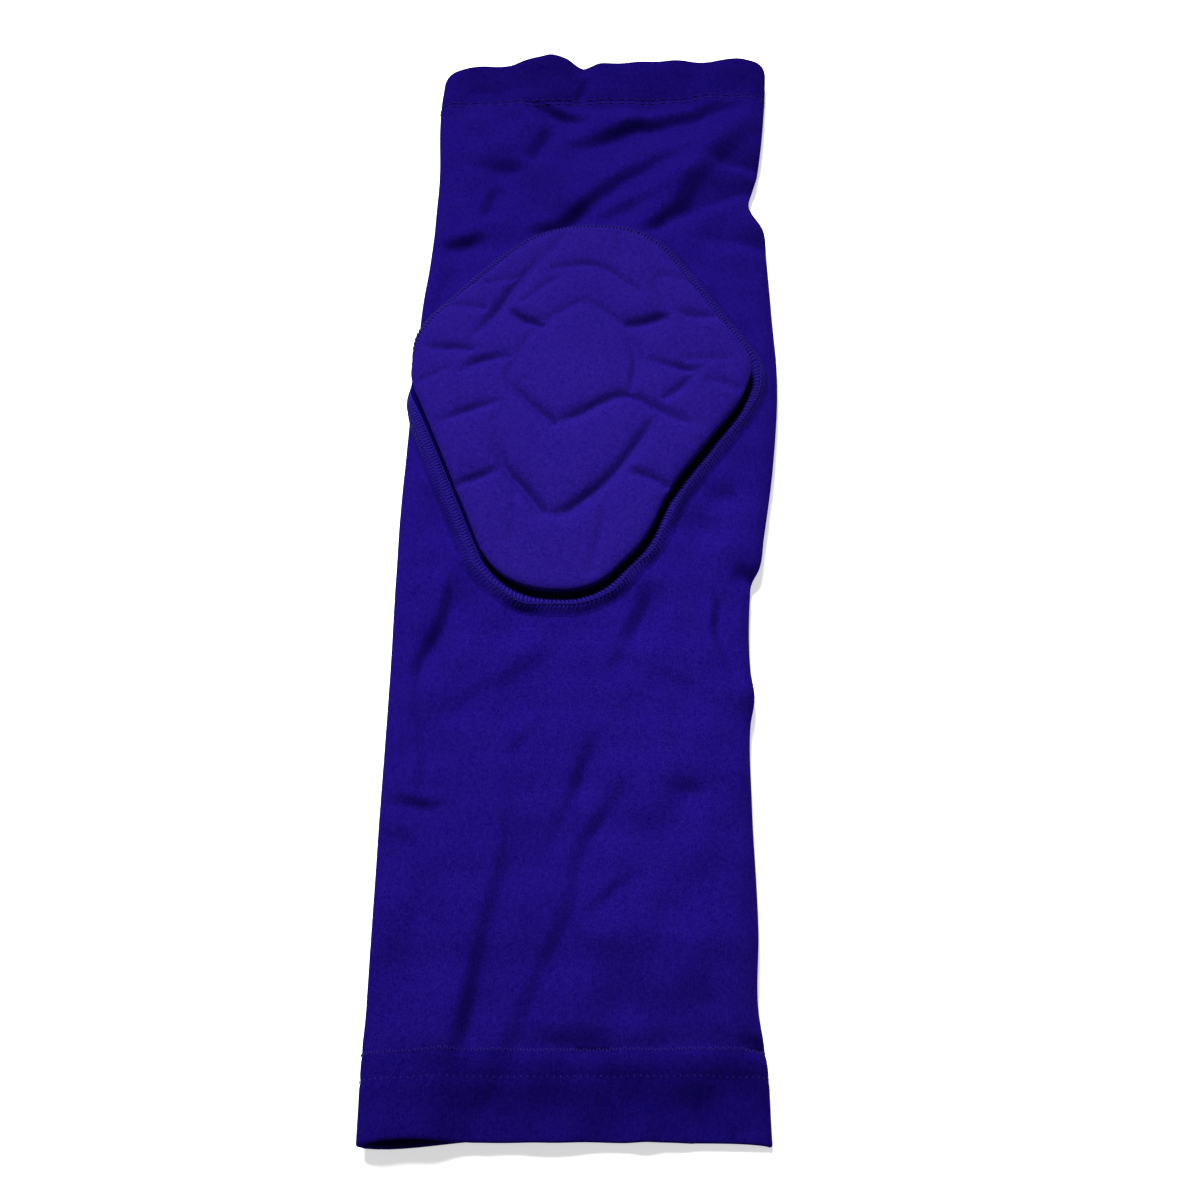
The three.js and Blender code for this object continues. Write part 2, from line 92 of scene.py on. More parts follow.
# Folds of the upper layer. left, right: width on each side of the path, seen along it;
# path: x, y and lift at each point, where a negative lift is a valley
Fold = namedtuple("Fold", "left right path")
FOLDS = (
    # Upper arm
    Fold(5, 7, ((-17.5, 188, 4.6), (-17.5, 177, 4.4), (-18, 168, 1.8), (-18, 160, 0))),
    Fold(3, 3, ((-5.5, 188, -2.2), (-6, 177, -2.2), (-6.5, 171, 0))),
    Fold(8, 5, ((47, 188, 1.1), (48, 176, 1.1), (48, 167, 0))),
    Fold(1.2, 1.2, ((-3.5, 171, 0), (-4.8, 167, -1), (-6.3, 163.2, -1.3), (-8, 159.5, 0))),
    Fold(7, 2.1, ((52, 161.5, 0), (46, 160, -1.7), (40, 158, -2.4), (35, 156, -3.1), (30, 153.6, -3.5),
        (25, 151.8, -3.8), (20, 150.3, -4), (15, 149.3, -4), (10, 147.8, -3.8), (5, 145, -3.5),
        (0, 141.6, -2.9), (-5, 139.7, -2), (-10, 138.6, -1.1), (-16, 137.8, 0))),
    Fold(2.1, 5, ((-22, 102.6, 0), (-17, 103.2, -3.1), (-11.5, 104.3, -3.8), (-8, 107.8, -4),
        (-4, 112.4, -3.8), (1, 118, -3.3), (6, 123, -2.9), (11, 127, -2.6), (17, 131, -2.2),
        (24, 135.5, -1.5), (31, 140, -0.8), (38, 145, 0))),
    Fold(2.0, 5, ((0, 107, 0), (4, 109.8, -1.7), (10, 113.8, -2.1), (15, 116.5, -1.7), (20, 118.5, -1.0),
        (26, 121, 0))),
    Fold(7, 2.6, ((19, 106, 0), (23.5, 113, 1.8), (26.5, 120.5, 2.8), (29.5, 127.5, 3.0), (33, 134, 2.8),
        (38, 141, 2.5), (45, 149, 2.1), (52, 155.5, 1.2), (56, 159, 0))),
    Fold(2.0, 3, ((14, 104, 0), (18, 106.2, -2.4), (21.5, 108.3, -3.8), (24.5, 111.2, -2.6),
        (28, 113.6, -1.0), (32, 115.5, 0))),
    Fold(7, 3, ((22, 109.5, 0), (27, 112.8, -1.4), (34, 116.5, -2.8), (42, 121.3, -3.7), (50, 126.8, -3.7),
        (58, 131, -2.8))),
    Fold(5.5, 3, ((32, 138.2, 0), (40, 137.3, -1.8), (47, 136.8, -2.8), (54, 136.8, -3.2),
        (60, 137, -2.6))),
    Fold(5, 3.5, ((32, 104.5, 0), (40, 103.4, -1.7), (48, 102.8, -2.5), (58, 102.8, -2.8))),
    Fold(5, 1.8, ((-31.5, 123, 0), (-32.8, 119, -2.2), (-34.3, 113, -2.6), (-35.5, 107, 0))),
    Fold(1.7, 5, ((-50, 97.5, 0), (-45.5, 97.8, -2.6), (-41, 98.2, -3.0), (-37, 99.8, -2.0),
        (-33, 101.5, 0))),
    Fold(4, 3, ((-40, 96, 0), (-44, 89, -1.8), (-46.5, 82, -2.4), (-48.5, 75, -1.6), (-50, 69, 0))),
    Fold(3, 2.4, ((-36, 82, 0), (-41, 76, -2.0), (-46, 70.5, -3.0), (-52, 64, -2.6), (-56, 59, 0))),
    Fold(1.3, 5, ((-26, 159.2, 0), (-19, 157.1, -2.2), (-13, 154.3, -3.2), (-7, 152.1, -2.2),
        (-1, 150.8, 0))),
    Fold(2.4, 4, ((-34, 152, 0), (-28, 152, -1.3), (-22, 153, 0))),
    Fold(2.0, 5, ((-45, 131.6, 0), (-36, 129.8, -1.4), (-27, 128.4, -1.9), (-20, 127.2, 0))),
    Fold(2.6, 5, ((-46, 156, 0), (-33, 144, 1.7), (-23, 133, 2.1), (-12, 120, 1.7), (-5, 112, 0))),
    Fold(2.2, 6, ((-47, 165, 0), (-37, 164, -1.3), (-28, 165.5, 0))),
    Fold(4, 2, ((-13.5, 150, 0), (-16.4, 144.8, -2.4), (-19, 139.5, -2.7), (-21, 134.5, -2.1),
        (-22.5, 130, 0))),
    Fold(4, 5, ((44, 164, 0), (28, 160.5, -1.2), (8, 158.5, -1.6), (-8, 158.5, -1.2), (-28, 160.5, 0))),
    # Beside the pad
    Fold(2.4, 4, ((35, 6, 0), (41, 6, -1.3), (47, 7.5, 0))),
    Fold(3.4, 5, ((31, 1, 0), (37, -6, -1.6), (44, -11, 0))),
    Fold(2.2, 2.8, ((43.5, -18, 0), (47.5, -19.5, -2.8), (53, -20.5, -3.4))),
    Fold(4, 3, ((-43, 6, 0), (-45.5, -5, -1.1), (-47.5, -16, -0.9), (-49, -26, 0))),
    # Forearm, left
    Fold(5, 1.9, ((-35.5, -18, 0), (-36.8, -29, -2.4), (-38.8, -39, -3), (-42.4, -46.5, -3.1),
        (-44.2, -53, -2.4), (-43.4, -61, -1.7), (-42, -70, -1.4), (-40.4, -78, -2), (-40.4, -86, -1.7),
        (-40.6, -91, 0))),
    Fold(1.4, 4, ((-54, -91.5, 0), (-48, -92.2, -1.8), (-41, -93.4, -2.2), (-36, -93.2, -1),
        (-30, -92, 0))),
    Fold(2.4, 7, ((-38, -69, 0), (-31, -63.5, -1.1), (-26, -59.5, -1.3), (-19, -56.8, -1.1),
        (-12, -51, -0.9), (-2, -44, 0))),
    Fold(1.8, 5, ((-19, -80, 0), (-16, -76.5, -1.1), (-12.5, -72.5, -0.9), (-7, -67, 0))),
    Fold(7, 6, ((-37, -98, 0), (-40, -118, -1.2), (-42, -132, -1.5), (-46, -149, -2.0), (-48, -160, 0))),
    Fold(3.4, 4, ((-53, -99, 0), (-45, -103.5, -1.2), (-36, -108.5, 0))),
    Fold(3, 7, ((-21, -84, 0), (-21, -97, 0.8), (-21.6, -108, 1.0), (-24, -122, 1.4), (-26, -135, 1.8),
        (-28, -147, 2.2), (-29.5, -155, 1.4), (-30, -162, 0))),
    Fold(4.5, 2.0, ((-16, -85, 0), (-16.3, -95, -1), (-16.5, -105, -1.2), (-17.6, -114, -1.3),
        (-20, -125, -1.4), (-21.8, -135, -1.7), (-23.3, -146, -2.3), (-24.6, -153, -1.9),
        (-26, -159.5, 0))),
    # Forearm, middle and right
    Fold(5, 1.9, ((7, -69, 0), (5.6, -74.5, -1), (3.9, -79.5, -2), (2.0, -86, -2.2), (0.4, -91, -1.2),
        (-2.5, -97, -0.8), (-5, -104, -0.6), (-8, -112, 0))),
    Fold(4.5, 2.3, ((14.5, -85, 0), (11, -91, -1.6), (8, -97, -2.2), (4.6, -103, -2.2), (2.8, -110, -1.7),
        (2, -119, -1.7), (-0.8, -127, -1.7), (-4.8, -136, -1.7), (-8.8, -147, -1.6), (-12, -157, -0.7),
        (-16, -165, -0.7), (-21, -174, -0.5), (-23, -182, 0))),
    Fold(5, 6, ((0, -92, 0), (-4, -99, -0.9), (-7, -105, -0.9), (-10, -112, 0))),
    Fold(1.8, 4, ((3, -124.5, 0), (6.5, -121.8, -1.3), (9.5, -118.6, -1.5), (14.5, -114, -1.3),
        (20, -110.5, 0))),
    Fold(1.8, 4, ((25.5, -86.8, 0), (30, -87, -1.2), (33.5, -87.5, -1.2), (37, -89, 0))),
    Fold(4, 4, ((29, -75, 0), (24, -83, 0.8), (20, -92, 0.7), (18, -99, 0))),
    Fold(3.4, 1.3, ((39.5, -26, 0), (39.6, -32, -2.3), (39.2, -37, -2.5), (40.2, -41.5, -1.7),
        (42.2, -47, -1.3), (44.5, -52, -1.1), (47.5, -57, 0))),
    Fold(3, 3, ((44, -49, 0), (48.5, -56, 1.1), (54, -58, 0.9))),
    Fold(4, 2.2, ((21.5, -23, 0), (19.7, -30, -1.8), (17.6, -35, -2.6), (15.2, -40.5, -2),
        (13.3, -45, -1.1), (12.3, -49, -1.7), (11, -53, -0.8), (10, -58, 0))),
    Fold(2.0, 4, ((20, -51, 0), (26, -55, -1.0), (31, -56.3, -0.9), (35, -55, 0))),
    Fold(5, 5, ((25, -86, 0), (33, -98, 0.8), (40, -110, 1.0), (47, -116, 0))),
    Fold(6, 6, ((26, -120, 0), (34, -131, 0.9), (42, -143, 1.0), (47, -150, 0))),
    Fold(6, 6, ((9, -128, 0), (13, -137, -1.1), (18, -147, -1.3), (25, -156, 0))),
    Fold(8, 12, ((-6, -121, 0), (8, -124, 1.8), (22, -127, 2.6), (36, -130, 2.4), (50, -134, 0.8))),
    # Wrist hem
    Fold(2.6, 2.2, ((-16, -155, 0), (-6, -155.4, -1.1), (8, -155.8, -1.2), (20, -155.2, -0.9),
        (34, -153.6, -0.8), (44, -153.4, 0))),
    Fold(1.9, 1.7, ((43.5, -152.4, 0), (48, -154.2, -2.6), (54, -154.8, -3.2))),
    Fold(2.0, 2.0, ((21, -164, 0), (20.8, -170, 0.7), (20.5, -177, 1.2), (20.5, -186, 1.2))),
    Fold(3.4, 3.4, ((11, -157, 0), (12.6, -163, -1.1), (14, -170, 0))),
    Fold(3.4, 4, ((36, -161, 0), (43, -163, -1.3), (50, -166, 0))),
    Fold(5, 5, ((-29, -152, 0), (-30.5, -160, 1.8), (-31.5, -172, 1.9), (-32, -188, 1.9))),
)
# Distances from the pad's outline over which the folds set in
FOLD_CLEAR = (0.5, 7.0)
FOLD_GAIN = 1.2
# A fold falls evenly to its foot, this many widths away, and is gone at the second number of the fade
FOLD_SPREAD = 1.6
FOLD_FOOT = 0.15
FOLD_FADE = (1.2, 1.8)
# Radius of the bend at the bottom of a valley and along the top of a ridge
CREASE_ROUND = 0.35
RIDGE_ROUND = 1.6
PATH_STEPS = 8

# Small unevenness of the cloth: how many waves, their lengths and their height
RIPPLE_SEED = 11
RIPPLE_COUNT = 14
RIPPLE_LENGTHS = (11.0, 34.0)
RIPPLE_HEIGHT = 0.13

# Mouths. The wrist's upper lip lies down on the lower one, except where it arches at its open left corner,
# and the lower lip is drawn in behind it; the corners of the upper-arm mouth are rounded
LIP_FROM = -157.0
LIP_DROP = 7.6
LIP_DOWN = (-46.0, -24.0)
LIP_LATE = 0.22
LIP_LATE_DOWN = (-8.0, 24.0)
LIP_ARCH = -39.0
LIP_ARCH_WIDTH = 9.0
LIP_ARCH_BACK = 0.6
LIP_BACK = 0.9
LIP_SQUARENESS = 8
LOWER_LIP_BACK = 2.2
LOWER_LIP_IN = (-46.0, -14.0)
CORNER_LEFT = 4.2
CORNER_RIGHT = 3.6
CORNER_FROM = 160.0
STITCH_SAG = 1.4
STITCH_SAG_REACH = 9.0

# Elbow pad: x, y and rounding of its corners in plan, and its rise above the cloth
PAD_CORNERS = (
    (3, -29.9, 9), (18.6, -12.5, 8), (24.2, 3.6, 8), (46.8, 37.5, 7), (50.6, 51, 6), (16.5, 100.3, 14),
    (-16, 100.5, 14), (-59, 54, 16), (-24, -29.9, 17),
)
PAD_CENTRE = np.array([-2.0, 38.0])
PAD_RISE = 6.4
PAD_DOME = 2.4
PAD_REACH = 62.0
PAD_DROOP = 2.6
DROOP_RANGE = (-40.0, -58.0)
PAD_INSET = 8.0
# Side of the pad, which overhangs its foot: distance outside the outline, and share of the rise
PAD_SIDE = (
    (-8, 1), (-4.2, 0.995), (-2.2, 0.97), (-1.0, 0.92), (-0.2, 0.83),
    (0, 0.7), (-0.3, 0.5), (-0.9, 0.3), (-1.2, 0.14), (-1.3, 0),
)
# Rings of the thin edge under the seam, outside the outline, and of the underside, as shares of the outline
PAD_EDGE_ABOVE = (-0.5, 1.0)
PAD_EDGE_BELOW = (2.0, 0.0)
PAD_UNDERSIDE = (0.8, 0.55, 0.3)

# Flex grooves moulded into the pad; path: x, y and depth at each point
GROOVE_WIDTH = 1.45
WIDE_GROOVE = 1.75
GROOVE_GAIN = 1.38
Groove = namedtuple("Groove", "path width", defaults=(GROOVE_WIDTH,))
GROOVES = (
    Groove(((9, 60.5, 0.4), (12, 61.2, 1.9), (17, 62.7, 2.3), (22, 64.8, 2.2),
        (24.5, 65.8, 0.4)), WIDE_GROOVE),
    Groove(((-36, 55.5, 0.3), (-31.5, 62, 1.6), (-28.2, 67.5, 2.1), (-24, 75.5, 1.7),
        (-19.5, 82, 1.1), (-15, 88, 0.5)), WIDE_GROOVE),
    Groove(((-9.5, 24.7, 0.7), (-3, 27.5, 1.8), (4.5, 32.3, 1.8), (9.5, 34.6, 1.6), (14.5, 34, 1.6),
        (20, 31, 1.7), (27, 27.6, 1.4), (33.5, 25.3, 0.4)), WIDE_GROOVE),
    Groove(((-11, -6.4, 0.6), (-5, -4.9, 1.8), (0, -0.8, 2.2), (5, 3.8, 2.1), (10, 10, 1.9),
        (16, 19.5, 1.7), (20.5, 27.5, 0.6)), WIDE_GROOVE),
    Groove(((27, 67, 0.3), (30, 66.4, 1.3), (33, 65.9, 1.5), (39.5, 66.5, 0.6))),
    Groove(((-26, 65.8, 0.9), (-20.5, 62.6, 2.2), (-15, 60.4, 1.8))),
    Groove(((-49, 53.2, 0.8), (-43, 52.4, 1.5), (-36.3, 51.2, 1.0))),
    Groove(((-38.5, 43.3, 0.4), (-34, 46.5, 1.5), (-29.5, 47.8, 1.4), (-23, 48.4, 0.5))),
    Groove(((-43.5, 25.4, 0.6), (-36, 28.9, 1.5), (-27.5, 31.6, 0.7))),
    Groove(((-38.5, 3.4, 1.1), (-32, 5.8, 1.8), (-25, 8.5, 0.8))),
    Groove(((19, 47.8, 0.7), (26, 46, 1.3), (30.5, 45.2, 1.3), (34, 45.6, 0.4))),
    Groove(((10, 58.8, 0.5), (13.6, 52, 1.2), (14.3, 45, 1.3), (12.8, 36, 0.8))),
    Groove(((-13, 90, 0.9), (-9, 97, 0.9))),
    Groove(((-50.5, 41.5, 0.8), (-44, 44, 0.6))),
    Groove(((-27, 20, 0.7), (-24, 10, 1.6), (-18, 2.8, 2.3), (-12, -5, 2.2))),
    Groove(((11, 9, 0.9), (18, 7.4, 1.7), (23.5, 4.4, 1.5))),
    Groove(((32.5, 44.3, 0.7), (28, 38.6, 1.2), (23.5, 34.5, 0.9))),
    Groove(((37, 42, 0.8), (45, 40, 0.7))),
    Groove(((29.5, 49, 0.6), (43, 50.5, 0.5))),
    Groove(((-12, 82.5, 0.8), (-2, 84.5, 1.2), (5, 82, 1.2), (14, 74.5, 0.9))),
    Groove(((-21, 69.5, 0.6), (-13, 77, 0.6), (-9.5, 79.5, 0.4))),
    Groove(((-33, 77, 0.8), (-22, 79, 0.9))),
    Groove(((8, 97, 0.7), (9.5, 89, 0.6))),
    Groove(((7, 4.5, 0.5), (6, -8, 0.7), (2.5, -24, 0.5))),
    Groove(((-27.5, 25, 0.4), (-23, 8, 0.5))),
    Groove(((-20.5, 8, 0.4), (-20, -14, 0.5))),
    Groove(((30, 80, 0.8), (20.5, 79.8, 0.7), (22.5, 68, 0.6))),
    Groove(((2, 67.5, 0.9), (10, 61.5, 1.2))),
    Groove(((-15, 62, 0.8), (-21, 50, 0.6), (-24, 40, 0.8), (-19, 33, 1.4), (-10, 24.7, 1.8))),
    Groove(((-14, 62, 0.7), (-3, 69, 0.7), (2, 67.5, 0.7))),
    Groove(((-44, 68.8, 0.8), (-33.5, 67, 1.0))),
)
SHOULDER_WIDTH = 3.0
SHOULDER_SHARE = 0.3
GROOVE_REACH = 2.5

# Seam round the pad: its edges and the line where pad and tube meet under it, outside the pad's outline
SEAM_INNER = -0.6
SEAM_OUTER = 6.0
SEAM_MIDDLE = 2.6
SEAM_GAP = 0.15
SEAM_LIFT = 0.1
# Round of the seam: distance outside the pad's outline, and height over the cloth
SEAM_ROUND = np.array([(-0.6, 0.3), (0.2, 0.6), (0.8, 1.2), (1.5, 1.8), (2.2, 2.1), (2.9, 2.1), (3.8, 1.6),
                       (4.6, 0.9), (5.3, 0.4), (6.0, 0.1)])
# Share of its height that it keeps over the tube's folded edge, and the upward parts of the direction out of
# the cloth between which it gains the rest
EDGE_SEAM = 0.65
EDGE_TURN = (0.3, 0.95)
# Its rows of needle stitches, outside the pad's outline, and the threads laid across it
NEEDLE_ROWS = (0.7, 3.1)
STITCH_PITCH = 1.1
COVER_SLANT = 0.3
COVER_RADIUS = 0.27
LOOP_RADIUS = 0.17
LOOP_SHORT = 1.0
COVER_SUNK = 0.06
NEEDLE_RADIUS = 0.15
HEM_STITCH_PITCH = 1.7
HEM_THREAD_RADIUS = 0.15
# Creases that the rows of hem stitches pull into the cloth: place along, width and depth
STITCH_CREASES = (
    (WRIST_STITCH, 1.1, 0.14),
    (WRIST_SECOND_ROW, 1.0, 0.2),
    (BICEP_STITCH, 1.6, 0.1),
)
PUCKER_DEPTH = 0.05
PUCKER_WIDTHS = 3

# Threads: how squarely they narrow, and the least share of their section that is left at the ends
THREAD_TAPER = 6
THREAD_END = 0.08
# Uneven spacing of the cover threads, and the share of the pitch that a needle stitch reaches each way
THREAD_SEED = 5
COVER_WANDER = 0.12
NEEDLE_REACH = 0.42
# How far stitches stand over the cloth and how far they arch, in radii of their thread
NEEDLE_PROUD = 0.2
HEM_STITCH_PROUD = 0.1
HEM_STITCH_ARCH = 0.6

# How finely the cloth is divided
UPPER_COLUMNS = 70
LOWER_COLUMNS = 16
BODY_ROWS = 300
HEM_ROW_STEP = 0.75
LIP_TURNS = 7
PAD_COLUMNS = 560
PAD_INNER_RINGS = 100
PAD_SIDE_STEPS = 3
SEAM_COLUMNS = 960
SEAM_ACROSS = 19
SEAM_UNDER_EVERY = 3
SEAM_RUN_STEPS = 1600
WINDOW_STEPS = 900
CORNER_STEPS = 40
OUTLINE_CHECKS = 300
PROFILE_STEPS = 600
THREAD_SIDES = 6
COVER_STEPS = 9
STITCH_STEPS = 5


def smoothstep(value, low, high):
    """Eased share of the way from one value to another, which may be the smaller one."""
    share = np.clip((value - low) / (high - low), 0.0, 1.0)
    return share * share * (3.0 - 2.0 * share)


def running_length(steps):
    """Distance travelled at each point, from the lengths of the steps between them."""
    return np.concatenate([[0], np.cumsum(steps)])


def step_lengths(points):
    """Distances between neighbouring points of a path."""
    return np.linalg.norm(np.diff(points, axis=-2), axis=-1)


def smooth_path(points, steps):
    """A curve through the points (Catmull-Rom), with that many steps between neighbours."""
    points = np.array(points, float)
    ends = np.vstack([2 * points[0] - points[1], points, 2 * points[-1] - points[-2]])
    share = np.linspace(0, 1, steps, endpoint=False)[:, None]
    pieces = []
    for a, b, c, d in zip(ends[:-3], ends[1:-2], ends[2:-1], ends[3:]):
        bend = (2 * a - 5 * b + 4 * c - d) * share**2 + (3 * b - a - 3 * c + d) * share**3
        pieces.append(b + 0.5 * ((c - a) * share + bend))
    return np.vstack(pieces + [points[-1:]])


def nearest_on_path(x, y, path):
    """Distance to a path in plan, the side that a place is on, and the path's values nearest to it."""
    start, run = path[:-1], np.diff(path, axis=0)
    offset_x = x[:, None] - start[None, :, 0]
    offset_y = y[:, None] - start[None, :, 1]
    length = run[:, 0] ** 2 + run[:, 1] ** 2
    share = np.clip((offset_x * run[:, 0] + offset_y * run[:, 1]) / length, 0, 1)
    away = np.hypot(offset_x - share * run[:, 0], offset_y - share * run[:, 1])
    best = away.argmin(axis=1)
    rows = np.arange(len(x))
    side = run[best, 0] * offset_y[rows, best] - run[best, 1] * offset_x[rows, best]
    values = start[best] + share[rows, best][:, None] * run[best]
    return away[rows, best], side, values


def near_path(x, y, points, reach):
    """The smooth path through the points, and which places in plan lie within reach of its box."""
    path = smooth_path(points, PATH_STEPS)
    low, high = path.min(axis=0) - reach, path.max(axis=0) + reach
    return path, np.flatnonzero((x > low[0]) & (x < high[0]) & (y > low[1]) & (y < high[1]))


def section_at(along):
    """Left edge, right edge, crown and slant at places along the tube, by cubic interpolation."""
    places, values = SECTIONS[:, 0], SECTIONS[:, 1:]
    last = len(places) - 1
    place = np.clip(along, places[0], places[-1])
    high = np.clip(np.searchsorted(places, place, side="right"), 1, last)
    low = high - 1
    before = np.where(low > 0, low - 1, high)
    after = np.where(high < last, high + 1, low)
    step = places[high] - places[low]
    pull = 0.5 * step / (places[low] - places[before])
    push = 0.5 * step / (places[after] - places[high])
    p = (place - places[low]) / step
    weights = (
        (before, pull * (-(p**3) + 2 * p**2 - p)),
        (low, (1 + pull) * p**3 - (1.5 + 2 * pull) * p**2 + (pull - 0.5) * p + 1),
        (high, -(1 + push) * p**3 + (1.5 + push) * p**2 + 0.5 * p),
        (after, push * (p**3 - p**2)),
    )
    return np.moveaxis(sum(values[row] * weight[..., None] for row, weight in weights), -1, 0)


def rounded_outline(corners):
    """The pad's outline in plan, counterclockwise, and the distance round it at each point."""
    corners = np.array(corners, float)
    spots = corners[:, :2]
    pieces = []
    share = np.linspace(0, 1, CORNER_STEPS)[:, None]
    for i, (x, y, rounding) in enumerate(corners):
        here = np.array([x, y])
        to_before = spots[i - 1] - here
        to_after = spots[(i + 1) % len(spots)] - here
        start = here + to_before * rounding / np.linalg.norm(to_before)
        end = here + to_after * rounding / np.linalg.norm(to_after)
        pieces.append((1 - share) ** 2 * start + 2 * share * (1 - share) * here + share**2 * end)
    loop = np.vstack(pieces + [pieces[0][:1]])
    return running_length(step_lengths(loop)), loop


OUTLINE_RUN, OUTLINE_LOOP = rounded_outline(PAD_CORNERS)
PERIMETER = OUTLINE_RUN[-1]
DIRECTION_STEP = 1.5


def outline_at(run):
    """Points of the pad's outline at distances round it, and the direction out of the pad there."""

    def spot(distance):
        distance = np.mod(distance, PERIMETER)
        return np.stack([np.interp(distance, OUTLINE_RUN, OUTLINE_LOOP[:, i]) for i in range(2)], -1)

    ahead = spot(run + DIRECTION_STEP) - spot(run - DIRECTION_STEP)
    out = np.stack([ahead[..., 1], -ahead[..., 0]], -1)
    return spot(run), out / np.linalg.norm(out, axis=-1, keepdims=True)


OUTLINE_CHECK = outline_at(np.linspace(0, PERIMETER, OUTLINE_CHECKS, endpoint=False))[0]


def distance_from_pad(x, y):
    """Distance outside the pad's outline in plan, negative inside it."""
    flat_x, flat_y = x.ravel(), y.ravel()
    away = np.hypot(flat_x[:, None] - OUTLINE_CHECK[:, 0], flat_y[:, None] - OUTLINE_CHECK[:, 1])
    near = away.argmin(axis=1)
    from_centre = np.hypot(flat_x - PAD_CENTRE[0], flat_y - PAD_CENTRE[1])
    inside = from_centre < np.linalg.norm(OUTLINE_CHECK[near] - PAD_CENTRE, axis=1)
    return (away[np.arange(len(near)), near] * np.where(inside, -1, 1)).reshape(x.shape)


def ripple_waves():
    draw = np.random.default_rng(RIPPLE_SEED)
    length = draw.uniform(*RIPPLE_LENGTHS, RIPPLE_COUNT)
    angle = draw.uniform(0, np.pi, RIPPLE_COUNT)
    phase = draw.uniform(0, 2 * np.pi, RIPPLE_COUNT)
    return 2 * np.pi / length * np.cos(angle), 2 * np.pi / length * np.sin(angle), phase


RIPPLES = ripple_waves()


def ripple(x, y):
    total = np.zeros_like(x)
    for wave_x, wave_y, phase in zip(*RIPPLES):
        total += np.sin(wave_x * x + wave_y * y + phase)
    return RIPPLE_HEIGHT * total


def fold_lift(x, y):
    """Height that folds and unevenness add to the upper layer; they die out at the pad's seam."""
    shape = x.shape
    x, y = x.ravel(), y.ravel()
    lift = ripple(x, y)
    for fold in FOLDS:
        reach = FOLD_SPREAD * FOLD_FADE[1] * max(fold.left, fold.right)
        path, near = near_path(x, y, fold.path, reach)
        if len(near):
            away, side, values = nearest_on_path(x[near], y[near], path)
            width = np.where(side > 0, fold.left, fold.right)
            crease = np.where(values[:, 2] < 0, CREASE_ROUND, RIDGE_ROUND)
            share = (np.hypot(away, crease) - crease) / (FOLD_SPREAD * width)
            ramp = 0.5 * (1 - share + np.hypot(1 - share, FOLD_FOOT))
            lift[near] += values[:, 2] * ramp * (1 - smoothstep(share, *FOLD_FADE))
    return (FOLD_GAIN * lift * smoothstep(distance_from_pad(x, y), *FOLD_CLEAR)).reshape(shape)


def mouth_shift(along, across, x, upper):
    """How far the mouths' edges lie ahead or back, in the direction of +Y."""
    left, right = section_at(along)[:2]
    toward_wrist = smoothstep(along, LIP_FROM, WRIST_MOUTH)
    arch = LIP_ARCH_BACK * np.exp(-(((x - LIP_ARCH) / LIP_ARCH_WIDTH) ** 2))
    drawn_in = LOWER_LIP_BACK * smoothstep(x, *LOWER_LIP_IN)
    wrist = toward_wrist * (1 - np.abs(across) ** LIP_SQUARENESS) * np.where(upper, LIP_BACK + arch, drawn_in)
    toward_bicep = smoothstep(along, CORNER_FROM, BICEP_MOUTH)
    corner = np.zeros_like(x)
    for distance, size in ((x - left, CORNER_LEFT), (right - x, CORNER_RIGHT)):
        inward = np.clip(1 - distance / size, 0, 1)
        corner += size * (1 - np.sqrt(1 - inward**2))
    sag = STITCH_SAG * (1 - across**2) * np.exp(-(((along - BICEP_STITCH) / STITCH_SAG_REACH) ** 2))
    return wrist - toward_bicep * corner - np.where(upper, sag, 0)


def lip_drop(along, x):
    """How much lower the wrist's upper lip lies than the crown."""
    early = (1 - LIP_LATE) * smoothstep(x, *LIP_DOWN)
    late = LIP_LATE * smoothstep(x, *LIP_LATE_DOWN)
    return LIP_DROP * smoothstep(along, LIP_FROM, WRIST_MOUTH) * (early + late)


def shoulder_height(crown, across):
    return crown * (SHOULDER + (1 - SHOULDER) * (1 - across**2))


def edge_roll(across):
    """Share of a layer's height that is left where it rolls over at the folded edges."""
    return np.sqrt(1 - np.minimum(1, np.abs(across) ** EDGE_SQUARENESS))


def cloth(along, across, upper):
    """Points on the outside of the cloth; across is -1 at the left folded edge and 1 at the right one."""
    along, across, upper = np.broadcast_arrays(along, across, upper)
    left, right, crown, slant = section_at(along)
    x = (left + right) / 2 + across * (right - left) / 2
    y = along + slant * x + mouth_shift(along, across, x, upper)
    roll = edge_roll(across)
    height = np.maximum(shoulder_height(crown, across) + fold_lift(x, y) - lip_drop(along, x), LEAST_HEIGHT)
    edge = np.minimum(height / 2, EDGE_HEIGHT)
    below = edge * (1 - np.minimum(1, FLAT_UNDERSIDE * roll))
    above = edge + (height - edge) * roll
    return np.stack([x, y, np.where(upper, above, below)], -1)


def even_places(upper, count):
    """Places across one layer from its middle to a folded edge, even over the cloth, and their spacing."""
    across = np.sin(np.linspace(0, np.pi / 2, PROFILE_STEPS))
    x = across * (SECTIONS[:, 2] - SECTIONS[:, 1]).mean() / 2
    roll = edge_roll(across)
    if upper:
        z = EDGE_HEIGHT + (shoulder_height(SECTIONS[:, 3].mean(), across) - EDGE_HEIGHT) * roll
    else:
        z = EDGE_HEIGHT * (1 - np.minimum(1, FLAT_UNDERSIDE * roll))
    run = running_length(np.hypot(np.diff(x), np.diff(z)))
    return np.interp(np.linspace(0, run[-1], count + 1), run, across), run[-1] / count


